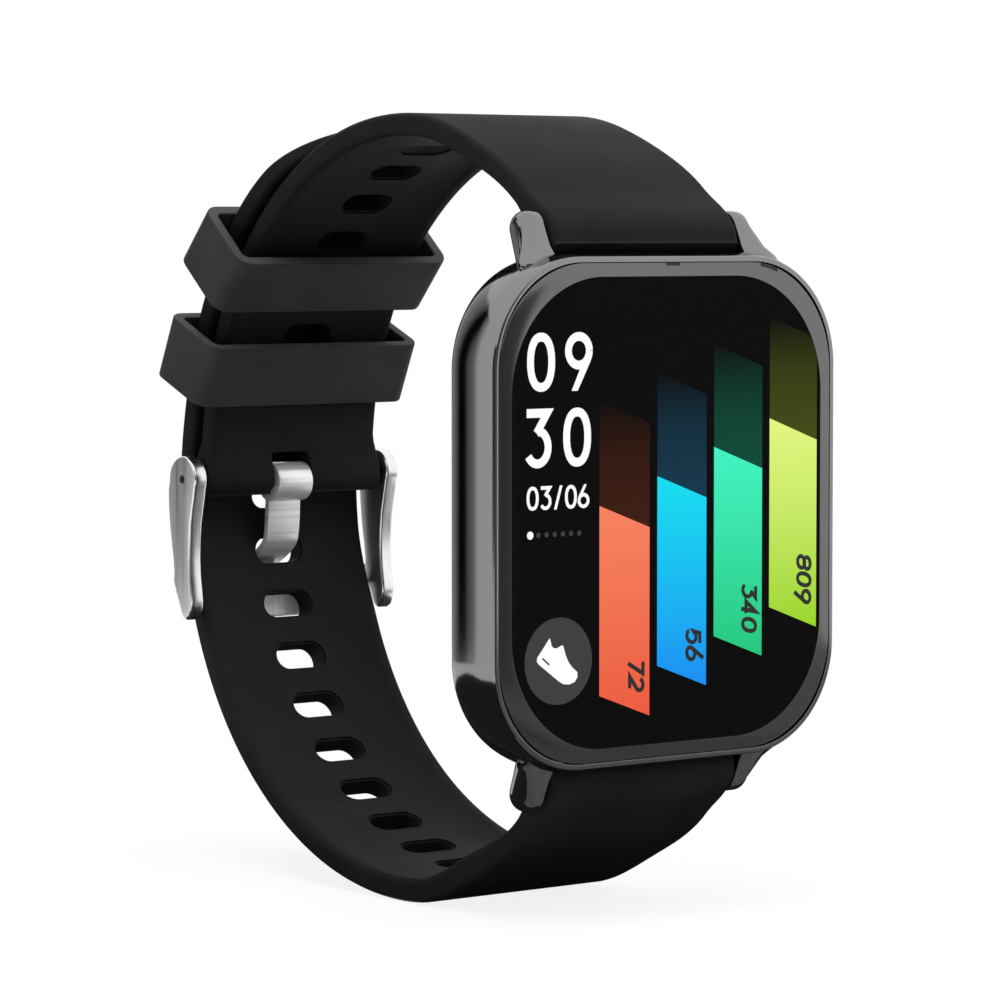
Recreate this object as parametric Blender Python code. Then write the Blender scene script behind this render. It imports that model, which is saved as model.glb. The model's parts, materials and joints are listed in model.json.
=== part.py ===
"""A smartwatch on a buckled two-piece strap, closed round an empty wrist.

Lengths below are in millimetres. X runs to the 3 o'clock side, Z to the 12 o'clock side, and depth
runs from the front of the glass towards the wrist. The origin of the finished part is the middle of
the sensor window's flat wrist face, so the watch datum sits one case thickness in front of it.
"""

import math

import bmesh
import bpy
import numpy as np
from mathutils import Matrix, Vector

MM = 0.001

# Case and glass
CASE_WIDTH = 41.0
CASE_HEIGHT = 46.0
CASE_CORNER = 10.7
CASE_THICKNESS = 10.9
SIDE_DEPTH = 6.6
WALL = 2.0
RIM = 0.55
GLASS_GAP = 0.36
GLASS_THICKNESS = 1.0
CLEARANCE = 0.3

# Strap and loop
STRAP_WIDTH = 22.0
STRAP_END_WIDTH = 20.8
STRAP_THICKNESS = 2.0
TIP_THICKNESS = 1.3
LAYER_GAP = 0.3
BARREL_RADIUS = 1.75
BARREL_RUN = 4.5
BAR_DEPTH = 5.0
BAR_PAST_CASE = 1.9
APEX_DEPTH = 25.9
UPPER_APEX = 34.7
LOWER_APEX = 36.4
PIN_DEPTH = 57.8
PIN_HEIGHT = 0.6
LOOP_POWER = 2.07
TAIL_LENGTH = 40.5

# Slots in the straps
SLOT_LENGTH = 6.0
SLOT_WIDTH = 2.8
SLOT_PITCH = 5.65
LOWER_SLOT_COUNT = 12
LOWER_SLOTS_PAST_TONGUE = 3
UPPER_SLOT_COUNT = 6
UPPER_SLOT_ABOVE_PIN = 14.45
TONGUE_SLOT_BELOW_PIN = 8.35

# Lugs and spring bars
LUG_THICKNESS = 2.3
LUG_RADIUS = 1.7
BAR_RADIUS = 0.8
BAR_TIP_RADIUS = 0.45
BAR_TIP_REACH = 0.9
RUNNING_FIT = 0.08

# Buckle: an arm's edges are offsets from the line between pin and crossbar, at shares of the way, and its
# foot is drawn round the crossbar's middle as offsets out of the loop and up the strap
PIN_RADIUS = 0.6
ARM_THICKNESS = 1.7
ARM_HEAD = 2.3
ARM_INNER_EDGE = ((0.23, -2.3), (0.56, -2.85), (0.77, -3.9))
ARM_OUTER_EDGE = ((0.72, -0.5), (0.445, 1.05), (0.17, 2.2))
ARM_FOOT = ((-3.4, 0.6), (-2.9, -1.5), (-1.6, -2.4), (0.3, -2.2), (0.5, 1.6))
FRAME_CORNER = 4.4
ARM_BELOW_SLOT = 6.7
CROSSBAR_THICKNESS = 1.2
CROSSBAR_HEIGHT = 4.6
TONGUE_WIDTH = 4.6
TONGUE_THICKNESS = 0.8

# Keepers
KEEPER_WALL = 1.3
KEEPER_SIDE_ROOM = 1.2
KEEPER_DEPTH_ROOM = 0.35
KEEPER_HEIGHT = 6.8
KEEPER_CORNER = 2.2
KEEPER_EDGE = 0.35
KEEPERS_FROM_PIN = (22.2, 11.8)

# Button
BUTTON_HEIGHT = 9.0
BUTTON_WIDTH = 2.0
BUTTON_PROUD = 0.5
BUTTON_ROOM = 0.25
BUTTON_POCKET = 0.8
BUTTON_TRAVEL = 0.5
STEM_RADIUS = 0.55
STEM_LENGTH = 3.2
STEM_FIT = 0.15
SWITCH_SIZE = (2.0, 1.4, 4.0)

# Back of the case
COVER_WALL = 1.1
COVER_SEAM = 0.4
WINDOW_INSET = 9.0
WINDOW_PROUD = 0.5
CONTACT_RADIUS = 0.9
CONTACT_LENGTH = 2.2
CONTACT_SPACING = 5.2
CONTACT_FROM_END = 7.0
MAGNET_RADIUS = 1.6
MAGNET_THICKNESS = 1.0
MAGNET_SPACING = 13.2

# Inside the case
LEDGE = 1.1
SEAL = 0.4
PANEL_DEPTH = 1.6
CHASSIS_PLATE = 0.6
BOARD_THICKNESS = 0.8
CAN_THICKNESS = 1.0
CHIP_THICKNESS = 0.8
COLUMN_WIDTH = 4.4
COLUMN_FROM_WALL = 2.1
MOTOR_SHARE = 0.8
SPEAKER_THICKNESS = 2.6
SENSOR_ROOM = 1.5
SENSOR_BOARD_THICKNESS = 0.5
SENSOR_THICKNESS = 0.4
TAB_HEIGHT = 0.7
TAB_THICKNESS = 1.0
FLEX_THICKNESS = 0.9

# Derived sizes
BAR_HEIGHT = CASE_HEIGHT / 2 + BAR_PAST_CASE
GLASS_INSET = RIM + GLASS_GAP
GLASS_WIDTH = CASE_WIDTH - 2 * GLASS_INSET
GLASS_HEIGHT = CASE_HEIGHT - 2 * GLASS_INSET
CAVITY_WIDTH = CASE_WIDTH - 2 * WALL
CAVITY_HEIGHT = CASE_HEIGHT - 2 * WALL
CAVITY_CORNER = CASE_CORNER - WALL
LEDGE_DEPTH = GLASS_THICKNESS + 2 * CLEARANCE + SEAL
CHASSIS_DEPTH = LEDGE_DEPTH + PANEL_DEPTH
BOARD_DEPTH = CHASSIS_DEPTH + CHASSIS_PLATE + CLEARANCE
BUTTON_DEPTH = BOARD_DEPTH + STEM_RADIUS + 0.05
COVER_DEPTH = SIDE_DEPTH + COVER_SEAM + CLEARANCE
BACK_DEPTH = CASE_THICKNESS - WINDOW_PROUD
LUG_INNER = STRAP_WIDTH / 2 + 0.25
ARM_INNER = STRAP_END_WIDTH / 2 + 0.4
ARM_LENGTH = TONGUE_SLOT_BELOW_PIN + ARM_BELOW_SLOT
LAYER = STRAP_THICKNESS + LAYER_GAP
TAIL_AT_PIN = BARREL_RADIUS + LAYER_GAP + STRAP_THICKNESS / 2
KEEPER_INNER_WIDTH = STRAP_END_WIDTH + 2 * KEEPER_SIDE_ROOM
KEEPER_INNER_DEPTH = STRAP_THICKNESS + LAYER + 2 * KEEPER_DEPTH_ROOM + LAYER_GAP

# Finishes: colour, roughness, metallic
FINISHES = {
    "glass_black": ((0.012, 0.012, 0.013), 0.05, 0.0),
    "gunmetal": ((0.10, 0.10, 0.105), 0.22, 0.9),
    "silicone_black": ((0.022, 0.022, 0.023), 0.6, 0.0),
    "steel": ((0.62, 0.61, 0.60), 0.28, 1.0),
    "plastic_black": ((0.03, 0.03, 0.032), 0.45, 0.0),
    "board_green": ((0.02, 0.10, 0.05), 0.5, 0.0),
    "cell_grey": ((0.32, 0.32, 0.34), 0.4, 0.3),
    "copper_flex": ((0.45, 0.22, 0.06), 0.45, 0.2),
    "gold": ((0.83, 0.60, 0.22), 0.25, 1.0),
    "rubber": ((0.02, 0.02, 0.02), 0.8, 0.0),
    "chip": ((0.05, 0.05, 0.055), 0.4, 0.1),
}


def clear_scene():
    """Remove every object of the opened scene."""
    for item in list(bpy.data.objects):
        bpy.data.objects.remove(item, do_unlink=True)


def make_datum():
    """Return the empty at the front of the glass that every piece is parented to."""
    datum = bpy.data.objects.new("watch_datum", None)
    bpy.context.scene.collection.objects.link(datum)
    datum.location = (0.0, -CASE_THICKNESS * MM, 0.0)
    return datum


def finish(name):
    """Return the material of one finish, made on first use."""
    found = bpy.data.materials.get(name)
    if found:
        return found
    colour, roughness, metallic = FINISHES[name]
    made = bpy.data.materials.new(name)
    made.use_nodes = True
    shader = made.node_tree.nodes["Principled BSDF"]
    shader.inputs["Base Color"].default_value = (*colour, 1.0)
    shader.inputs["Roughness"].default_value = roughness
    shader.inputs["Metallic"].default_value = metallic
    return made


def add_object(name, mesh, origin=(0.0, 0.0, 0.0)):
    """Link a mesh given in watch millimetres as an object with its origin at a point of the watch."""
    bmesh.ops.recalc_face_normals(mesh, faces=mesh.faces)
    bmesh.ops.translate(mesh, vec=-Vector(origin), verts=mesh.verts)
    bmesh.ops.scale(mesh, vec=(MM, MM, MM), verts=mesh.verts)
    data = bpy.data.meshes.new(name)
    mesh.to_mesh(data)
    mesh.free()
    made = bpy.data.objects.new(name, data)
    bpy.context.scene.collection.objects.link(made)
    made.location = Vector(origin) * MM
    made.parent = bpy.data.objects["watch_datum"]
    return made


def add_part(name, mesh, look, origin=(0.0, 0.0, 0.0)):
    """Add a finished piece: a node of the part."""
    made = add_object(name, mesh, origin)
    made.data.materials.append(finish(look))
    made.data.shade_smooth()
    made.data.set_sharp_from_angle(angle=math.radians(32))
    return made


def add_cutter(name, mesh, origin=(0.0, 0.0, 0.0)):
    """Add a helper solid that only shapes another piece."""
    made = add_object(name, mesh, origin)
    made.hide_render = True
    made.display_type = "WIRE"
    return made


def combine(target, tool, operation):
    """Let a helper solid cut or join a piece."""
    step = target.modifiers.new(tool.name, "BOOLEAN")
    step.operation = operation
    step.object = tool
    step.solver = "EXACT"


def loft(rings, closed=False):
    """Return a solid through point rings of equal count, capped at both ends or joined end to start."""
    mesh = bmesh.new()
    loops = [[mesh.verts.new(point) for point in ring] for ring in rings]
    pairs = list(zip(loops, loops[1:]))
    if closed:
        pairs.append((loops[-1], loops[0]))
    else:
        mesh.faces.new(loops[0])
        mesh.faces.new(loops[-1])
    for first, second in pairs:
        count = len(first)
        for index in range(count):
            after = (index + 1) % count
            mesh.faces.new((first[index], first[after], second[after], second[index]))
    return mesh


def outline(width, height, corner, steps=7):
    """Return the points of a rounded rectangle in X and Z, round each corner in turn."""
    points = []
    for turn, (side, end) in enumerate(((1, 1), (-1, 1), (-1, -1), (1, -1))):
        for step in range(steps + 1):
            angle = math.radians(90 * turn + 90 * step / steps)
            points.append((side * (width / 2 - corner) + corner * math.cos(angle),
                           end * (height / 2 - corner) + corner * math.sin(angle)))
    return points


def case_ring(inset, depth):
    """Return the case outline moved in by an inset, at a depth."""
    corner = max(CASE_CORNER - inset, 0.5)
    return [(x, depth, z)
            for x, z in outline(CASE_WIDTH - 2 * inset, CASE_HEIGHT - 2 * inset, corner)]


def cavity_height_at(across):
    """Return how far up the inside of the case wall reaches at a distance from the middle."""
    past_straight = max(across - (CAVITY_WIDTH / 2 - CAVITY_CORNER), 0.0)
    return CAVITY_HEIGHT / 2 - CAVITY_CORNER + math.sqrt(CAVITY_CORNER ** 2 - past_straight ** 2)


def slab(width, height, corner, near, far, centre=(0.0, 0.0), steps=3):
    """Return a flat plate with rounded corners between two depths."""
    points = outline(width, height, corner, steps)
    rings = [[(centre[0] + x, depth, centre[1] + z) for x, z in points] for depth in (near, far)]
    return loft(rings)


def rod(centre, radius, length, axis="X", sides=24):
    """Return a round bar centred on a point, along one axis."""
    mesh = bmesh.new()
    bmesh.ops.create_cone(mesh, cap_ends=True, segments=sides, radius1=radius, radius2=radius,
                          depth=length)
    turn = {"X": Matrix.Rotation(math.radians(90), 4, "Y"),
            "Y": Matrix.Rotation(math.radians(-90), 4, "X"),
            "Z": Matrix.Identity(4)}[axis]
    bmesh.ops.transform(mesh, matrix=Matrix.Translation(Vector(centre)) @ turn, verts=mesh.verts)
    return mesh


def turned(steps, centre, axis="Y", sides=24):
    """Return a stepped round solid: steps of (position along the axis, radius)."""
    rings = []
    for along, radius in steps:
        ring = []
        for index in range(sides):
            angle = 2 * math.pi * index / sides
            across = Vector((radius * math.cos(angle), radius * math.sin(angle)))
            offset = (across.x, along, across.y) if axis == "Y" else (along, across.x, across.y)
            ring.append(tuple(Vector(centre) + Vector(offset)))
        rings.append(ring)
    return loft(rings)


def extruded(points, near_x, far_x):
    """Return a solid from an outline of (depth, z) points, drawn out along X."""
    return loft([[(x, depth, z) for depth, z in points] for x in (near_x, far_x)])


def joined(*meshes):
    """Return one mesh holding several separate bodies, for a cutter."""
    whole = bmesh.new()
    for mesh in meshes:
        data = bpy.data.meshes.new("joined")
        mesh.to_mesh(data)
        mesh.free()
        whole.from_mesh(data)
        bpy.data.meshes.remove(data)
    return whole


class Path:
    """A smooth run in the plane of depth and Z, measured along its length."""

    def __init__(self, points):
        self.points = np.array(points)
        steps = np.linalg.norm(np.diff(self.points, axis=0), axis=1)
        self.along = np.concatenate(([0.0], np.cumsum(steps)))
        self.length = self.along[-1]

    def place(self, distance):
        """Return the point at a distance, run on straight past either end."""
        inside = min(max(distance, 0.0), self.length)
        point = np.array([np.interp(inside, self.along, self.points[:, axis]) for axis in (0, 1)])
        return point + (distance - inside) * self.heading(inside)

    def heading(self, distance):
        """Return the unit direction of travel at a distance."""
        reach = 0.4
        low = min(max(distance - reach, 0.0), self.length - 2 * reach)
        ends = [np.array([np.interp(spot, self.along, self.points[:, axis]) for axis in (0, 1)])
                for spot in (low, low + 2 * reach)]
        step = ends[1] - ends[0]
        return step / np.linalg.norm(step)


def loop_quarter(apex, rear_depth, rear_height, samples=60):
    """Return the rounded quarter of the wrist loop from its apex to its rear, as a superellipse."""
    power = 2 / LOOP_POWER
    points = []
    for index in range(samples + 1):
        angle = math.pi / 2 * index / samples
        points.append((APEX_DEPTH + (rear_depth - APEX_DEPTH) * max(math.sin(angle), 0.0) ** power,
                       rear_height + (apex - rear_height) * max(math.cos(angle), 0.0) ** power))
    return points


def front_arc(apex, samples=30):
    """Return the arc from a spring bar's axis up to the loop's apex, level where it arrives."""
    rise = apex - BAR_HEIGHT
    run = APEX_DEPTH - BAR_DEPTH
    radius = (run ** 2 + rise ** 2) / (2 * rise)
    sweep = math.asin(run / radius)
    return [(APEX_DEPTH - radius * math.sin(sweep * (1 - index / samples)),
             apex - radius + radius * math.cos(sweep * (1 - index / samples)))
            for index in range(samples)]


def smooth_step(value):
    """Return an eased 0 to 1 ramp."""
    held = min(max(value, 0.0), 1.0)
    return held * held * (3 - 2 * held)


def tail_thickness(from_tip):
    """Return the tail's thickness, thinned towards its tip."""
    return TIP_THICKNESS + (STRAP_THICKNESS - TIP_THICKNESS) * smooth_step(from_tip / 16)


def upper_path():
    """Return the middle line of the 12 o'clock strap, from its spring bar to the buckle pin."""
    return Path(front_arc(UPPER_APEX) + loop_quarter(UPPER_APEX, PIN_DEPTH, PIN_HEIGHT))


def lower_path(upper):
    """Return the middle line of the 6 o'clock strap, from its spring bar round to its tip."""
    rear = PIN_DEPTH + TAIL_AT_PIN
    below = front_arc(LOWER_APEX) + loop_quarter(LOWER_APEX, rear, -PIN_HEIGHT)
    points = [(depth, -z) for depth, z in below]
    samples = 70
    for index in range(1, samples + 1):
        past_pin = TAIL_LENGTH * index / samples
        lift = STRAP_THICKNESS / 2 + LAYER_GAP + tail_thickness(TAIL_LENGTH - past_pin) / 2
        lift += (TAIL_AT_PIN - LAYER) * (1 - smooth_step(past_pin / 9))
        spot = upper.length - past_pin
        tangent = upper.heading(spot)
        points.append(tuple(upper.place(spot) + lift * np.array((-tangent[1], tangent[0]))))
    return Path(points)


def strap_section(path, distance, half_width, half_thickness, outward):
    """Return one cross-section of a strap: a rectangle with its corners cut."""
    cut = min(0.45, 0.45 * half_thickness, 0.45 * half_width)
    point = path.place(distance)
    tangent = path.heading(distance)
    normal = outward * np.array((-tangent[1], tangent[0]))
    corners = [(-half_width, -half_thickness + cut), (-half_width, half_thickness - cut),
               (-half_width + cut, half_thickness), (half_width - cut, half_thickness),
               (half_width, half_thickness - cut), (half_width, -half_thickness + cut),
               (half_width - cut, -half_thickness), (-half_width + cut, -half_thickness)]
    section = []
    for across, out in corners:
        depth, height = point + out * normal
        section.append((across, depth, height))
    return section


def barrel_blend(distance, body):
    """Return the half thickness where a round barrel at distance 0 runs into a strap's body."""
    if distance <= 0:
        return math.sqrt(max(BARREL_RADIUS ** 2 - distance ** 2, 0.09))
    return body + (BARREL_RADIUS - body) * (1 - smooth_step(distance / BARREL_RUN))


def nose_stations():
    """Return the distances, before a barrel's axis, at which its round end is drawn."""
    return [-BARREL_RADIUS * math.cos(math.radians(angle)) for angle in (8, 30, 52, 74)]


def strap_width(share):
    """Return the strap's width at a share of the way from the lug to the buckle."""
    return STRAP_WIDTH + (STRAP_END_WIDTH - STRAP_WIDTH) * smooth_step(share)


def body_stations(length, count):
    """Return evenly spaced distances with a few more next to the barrel at the start."""
    near = [BARREL_RUN * share for share in (0.0, 0.27, 0.58)]
    return near + [BARREL_RUN + (length - BARREL_RUN) * index / count for index in range(count + 1)]


def make_upper_strap(upper):
    """Make the 12 o'clock strap with a barrel at both ends."""
    half = STRAP_THICKNESS / 2
    sections = []
    for spot in nose_stations() + body_stations(upper.length, 34)[:-1]:
        thick = max(barrel_blend(spot, half), barrel_blend(upper.length - spot, half))
        width = strap_width(spot / (0.6 * upper.length))
        sections.append(strap_section(upper, spot, width / 2, thick, 1))
    for spot in [0.0] + nose_stations()[::-1]:
        thick = barrel_blend(spot, half)
        sections.append(strap_section(upper, upper.length - spot, STRAP_END_WIDTH / 2, thick, 1))
    strap = add_part("upper_strap", loft(sections), "silicone_black", (0.0, BAR_DEPTH, BAR_HEIGHT))
    slots = [slot_cutter(upper, upper.length - UPPER_SLOT_ABOVE_PIN - SLOT_PITCH * index)
             for index in range(UPPER_SLOT_COUNT)]
    bores = [rod((0.0, BAR_DEPTH, BAR_HEIGHT), BAR_RADIUS + RUNNING_FIT, STRAP_WIDTH + 4),
             rod((0.0, PIN_DEPTH, PIN_HEIGHT), PIN_RADIUS + RUNNING_FIT, STRAP_WIDTH + 4)]
    notch = slab(TONGUE_WIDTH + 1.0, 8.0, 0.5, PIN_DEPTH - 5, PIN_DEPTH + 5, (0.0, PIN_HEIGHT - 1.6))
    combine(strap, add_cutter("upper_strap_slots", joined(*slots)), "DIFFERENCE")
    combine(strap, add_cutter("upper_strap_bores", joined(*bores)), "DIFFERENCE")
    combine(strap, add_cutter("upper_strap_notch", notch), "DIFFERENCE")


def make_lower_strap(lower, rear_at):
    """Make the 6 o'clock strap with its barrel, its slots and its rounded tip."""
    half = STRAP_THICKNESS / 2
    tip_round = STRAP_END_WIDTH / 2
    sections = []
    stations = nose_stations() + body_stations(lower.length - tip_round, 56)
    stations += [lower.length - tip_round * (1 - math.sin(math.radians(angle)))
                 for angle in (20, 40, 58, 72, 82)]
    for spot in stations:
        from_tip = lower.length - spot
        thick = max(barrel_blend(spot, min(half, tail_thickness(from_tip) / 2)), 0.3)
        width = strap_width(spot / (0.6 * rear_at)) / 2
        if from_tip < tip_round:
            width *= math.sqrt(1 - (1 - from_tip / tip_round) ** 2)
        sections.append(strap_section(lower, spot, width, thick, -1))
    strap = add_part("lower_strap", loft(sections), "silicone_black", (0.0, BAR_DEPTH, -BAR_HEIGHT))
    last = rear_at - TONGUE_SLOT_BELOW_PIN + SLOT_PITCH * LOWER_SLOTS_PAST_TONGUE
    slots = [slot_cutter(lower, last - SLOT_PITCH * index) for index in range(LOWER_SLOT_COUNT)]
    bore = rod((0.0, BAR_DEPTH, -BAR_HEIGHT), BAR_RADIUS + RUNNING_FIT, STRAP_WIDTH + 4)
    combine(strap, add_cutter("lower_strap_slots", joined(*slots)), "DIFFERENCE")
    combine(strap, add_cutter("lower_strap_bore", bore), "DIFFERENCE")


def slot_cutter(path, distance):
    """Return a stadium-shaped punch through a strap at a distance along it."""
    mesh = slab(SLOT_LENGTH, SLOT_WIDTH, SLOT_WIDTH / 2 - 0.01, -4.0, 4.0, steps=5)
    return placed_on(mesh, path, distance)


def placed_on(mesh, path, distance, lift=0.0):
    """Move a mesh drawn round the origin onto a path: its Z along the path and its Y out of the loop."""
    tangent = path.heading(distance)
    normal = np.array((-tangent[1], tangent[0]))
    depth, height = path.place(distance) + lift * normal
    frame = Matrix(((1, 0, 0, 0), (0, normal[0], tangent[0], depth), (0, normal[1], tangent[1], height),
                    (0, 0, 0, 1)))
    bmesh.ops.transform(mesh, matrix=frame, verts=mesh.verts)
    return mesh


def make_keepers(upper):
    """Make the two loose loops that hold the tail down on the other strap."""
    wide = KEEPER_INNER_WIDTH + 2 * KEEPER_WALL
    deep = KEEPER_INNER_DEPTH + 2 * KEEPER_WALL
    edge = KEEPER_EDGE
    half = KEEPER_HEIGHT / 2
    for number, from_pin in enumerate(KEEPERS_FROM_PIN, start=1):
        layers = ((edge, -half), (0.0, -half + edge), (0.0, half - edge), (edge, half),
                  (KEEPER_WALL - edge, half), (KEEPER_WALL, half - edge),
                  (KEEPER_WALL, -half + edge), (KEEPER_WALL - edge, -half))
        rings = [[(x, depth, z) for x, depth in
                  outline(wide - 2 * inset, deep - 2 * inset, KEEPER_CORNER - inset, 4)]
                 for inset, z in layers]
        spot = upper.length - from_pin
        lift = LAYER / 2
        centre = upper.place(spot) + lift * np.array((-upper.heading(spot)[1], upper.heading(spot)[0]))
        mesh = placed_on(loft(rings, closed=True), upper, spot, lift)
        add_part(f"keeper_{number}", mesh, "silicone_black", (0.0, centre[0], centre[1]))


def arm_outline(lower, bar_at, bar_lift):
    """Return the side view of a buckle arm: round its pin, waisted, and broad at the crossbar."""
    points = []
    for index in range(13):
        angle = math.radians(-8 + 196 * index / 12)
        points.append((PIN_DEPTH + ARM_HEAD * (0.08 + math.cos(angle)),
                       PIN_HEIGHT + ARM_HEAD * math.sin(angle)))
    pin = np.array((PIN_DEPTH, PIN_HEIGHT))
    up_strap = lower.heading(bar_at)
    out = np.array((up_strap[1], -up_strap[0]))
    bar = lower.place(bar_at) - bar_lift * out
    line = (bar - pin) / np.linalg.norm(bar - pin)
    side = np.array((-line[1], line[0]))
    edges = [[tuple(pin + share * (bar - pin) + offset * side) for share, offset in edge]
             for edge in (ARM_INNER_EDGE, ARM_OUTER_EDGE)]
    foot = [tuple(bar + outward * out + upward * up_strap) for outward, upward in ARM_FOOT]
    return points + edges[0] + foot + edges[1]


def make_buckle(lower, rear_at):
    """Make the buckle frame, its pin and its tongue, all turning about the pin."""
    pivot = (0.0, PIN_DEPTH, PIN_HEIGHT)
    outer = ARM_INNER + ARM_THICKNESS
    bar_at = rear_at - ARM_LENGTH + CROSSBAR_HEIGHT / 2
    lift = -(STRAP_THICKNESS / 2 + LAYER_GAP + CROSSBAR_THICKNESS / 2)
    arm = arm_outline(lower, bar_at, lift)
    frame = add_part("buckle_frame", extruded(arm, -outer, -ARM_INNER), "steel", pivot)
    right_arm = add_cutter("buckle_right_arm", extruded(arm, ARM_INNER, outer), pivot)
    bar = slab(2 * ARM_INNER + ARM_THICKNESS, CROSSBAR_HEIGHT, CROSSBAR_THICKNESS / 2.4,
               -CROSSBAR_THICKNESS / 2, CROSSBAR_THICKNESS / 2)
    crossbar = add_cutter("buckle_crossbar", placed_on(bar, lower, bar_at, lift), pivot)
    bore = add_cutter("buckle_bore", rod(pivot, PIN_RADIUS + RUNNING_FIT, 2 * outer + 4), pivot)
    combine(frame, crossbar, "UNION")
    combine(frame, right_arm, "UNION")
    combine(frame, bore, "DIFFERENCE")
    tall = 2 * ARM_LENGTH
    outline = slab(2 * outer, tall, FRAME_CORNER, PIN_DEPTH - 8, PIN_DEPTH + 8,
                   (0.0, PIN_HEIGHT - ARM_LENGTH - 0.3 + tall / 2))
    combine(frame, add_cutter("buckle_outline", outline, pivot), "INTERSECT")
    add_part("buckle_pin", rod(pivot, PIN_RADIUS, 2 * outer - 0.4), "steel", pivot)
    make_tongue(pivot, lower, rear_at)


def make_tongue(pivot, lower, rear_at):
    """Make the flat tongue: a loop round the pin, then an S bend out through the strap's slot."""
    loop = PIN_RADIUS + RUNNING_FIT + TONGUE_THICKNESS / 2
    slot = TONGUE_SLOT_BELOW_PIN
    over_bar = STRAP_THICKNESS / 2 + 2 * LAYER_GAP + CROSSBAR_THICKNESS + TONGUE_THICKNESS / 2
    route = [(PIN_DEPTH + loop, PIN_HEIGHT - 0.1), (PIN_DEPTH + loop + 0.15, PIN_HEIGHT - 2.6)]
    under_slot = STRAP_THICKNESS / 2 + TONGUE_THICKNESS
    bends = ((slot - 2.8, -under_slot - 0.2), (slot - 0.9, -under_slot - 0.1), (slot + 0.05, -0.1),
             (slot + 0.75, under_slot - 0.3), (slot + 1.9, over_bar - 0.25), (slot + 3.3, over_bar),
             (slot + 5.6, over_bar))
    for below_pin, lift in bends:
        heading = lower.heading(rear_at - below_pin)
        route.append(tuple(lower.place(rear_at - below_pin) + lift * np.array((heading[1], -heading[0]))))
    middle = Path(curve_through(route, 5))
    half = TONGUE_THICKNESS / 2
    sides = ([], [])
    count = 26
    for index in range(count + 1):
        spot = middle.length * index / count
        tangent = middle.heading(spot)
        normal = np.array((-tangent[1], tangent[0]))
        for side, sign in zip(sides, (1, -1)):
            side.append(tuple(middle.place(spot) + sign * half * normal))
    strip = extruded(sides[0] + sides[1][::-1], -TONGUE_WIDTH / 2, TONGUE_WIDTH / 2)
    tongue = add_part("buckle_tongue", strip, "steel", pivot)
    eye = rod(pivot, loop + half, TONGUE_WIDTH)
    bore = rod(pivot, PIN_RADIUS + RUNNING_FIT, TONGUE_WIDTH + 2)
    combine(tongue, add_cutter("tongue_eye", eye, pivot), "UNION")
    combine(tongue, add_cutter("tongue_bore", bore, pivot), "DIFFERENCE")


def curve_through(points, steps):
    """Return points of a smooth curve that passes through every given point."""
    spots = [np.array(point) for point in points]
    spots = [2 * spots[0] - spots[1]] + spots + [2 * spots[-1] - spots[-2]]
    curve = []
    for before, start, end, after in zip(spots, spots[1:], spots[2:], spots[3:]):
        for step in range(steps):
            share = step / steps
            curve.append(tuple(0.5 * (2 * start + (end - before) * share
                                      + (2 * before - 5 * start + 4 * end - after) * share ** 2
                                      + (3 * start - before - 3 * end + after) * share ** 3)))
    curve.append(tuple(spots[-2]))
    return curve


def lug_outline(side):
    """Return the side view of a lug: round its spring bar and broad where it joins the case."""
    points = []
    for index in range(11):
        angle = math.radians(-15 + 190 * index / 10)
        points.append((BAR_DEPTH + LUG_RADIUS * math.cos(angle),
                       side * (BAR_HEIGHT + LUG_RADIUS * math.sin(angle))))
    root = cavity_height_at(LUG_INNER) + 0.2
    return points + [(LEDGE_DEPTH + 0.15, side * (BAR_HEIGHT - 2.0)), (LEDGE_DEPTH + 0.1, side * root),
                     (SIDE_DEPTH - 0.7, side * root)]


def make_mid_frame():
    """Make the case's middle: a curved wall with a glass seat, four lugs and the holes in them."""
    side_curve = [(inset, share * SIDE_DEPTH) for inset, share in
                  ((0.16, 0.076), (0.0, 0.364), (0.12, 0.667), (0.6, 0.894), (0.95, 1.0))]
    ledge_under = LEDGE_DEPTH + 0.7
    profile = [(RIM, 0.12)] + side_curve
    profile += [(WALL, SIDE_DEPTH), (WALL, ledge_under + 0.2), (WALL + LEDGE, ledge_under),
                (WALL + LEDGE, LEDGE_DEPTH), (RIM, LEDGE_DEPTH)]
    case = add_part("mid_frame", loft([case_ring(*place) for place in profile], closed=True), "gunmetal")
    names = {1: "upper", -1: "lower"}
    for side, label in names.items():
        for hand in (-1, 1):
            near = hand * LUG_INNER
            lug = extruded(lug_outline(side), near, near + hand * LUG_THICKNESS)
            combine(case, add_cutter(f"{label}_lug_{hand}", lug), "UNION")
        axis = (0.0, BAR_DEPTH, side * BAR_HEIGHT)
        scoop = rod(axis, BARREL_RADIUS + CLEARANCE, 2 * LUG_INNER)
        holes = rod(axis, BAR_TIP_RADIUS + RUNNING_FIT, 2 * (LUG_INNER + BAR_TIP_REACH + 0.3), sides=16)
        combine(case, add_cutter(f"{label}_scoop", scoop), "DIFFERENCE")
        combine(case, add_cutter(f"{label}_bar_holes", holes), "DIFFERENCE")
    reach = CASE_WIDTH / 2
    stem = rod((reach, BUTTON_DEPTH, 0.0), STEM_RADIUS + STEM_FIT, 4 * WALL)
    pocket = side_pill(BUTTON_WIDTH + 2 * BUTTON_ROOM, BUTTON_HEIGHT + 2 * BUTTON_ROOM,
                       reach - BUTTON_POCKET, reach + WALL)
    combine(case, add_cutter("button_bore", stem), "DIFFERENCE")
    combine(case, add_cutter("button_pocket", pocket), "DIFFERENCE")


def side_pill(width, height, near_x, far_x):
    """Return a long rounded button shape that stands on the 3 o'clock side between two X positions."""
    mesh = slab(width, height, width / 2 - 0.01, near_x, far_x, steps=5)
    bmesh.ops.rotate(mesh, matrix=Matrix.Rotation(math.radians(-90), 3, "Z"), verts=mesh.verts)
    bmesh.ops.translate(mesh, vec=(0.0, BUTTON_DEPTH, 0.0), verts=mesh.verts)
    return mesh


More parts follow.
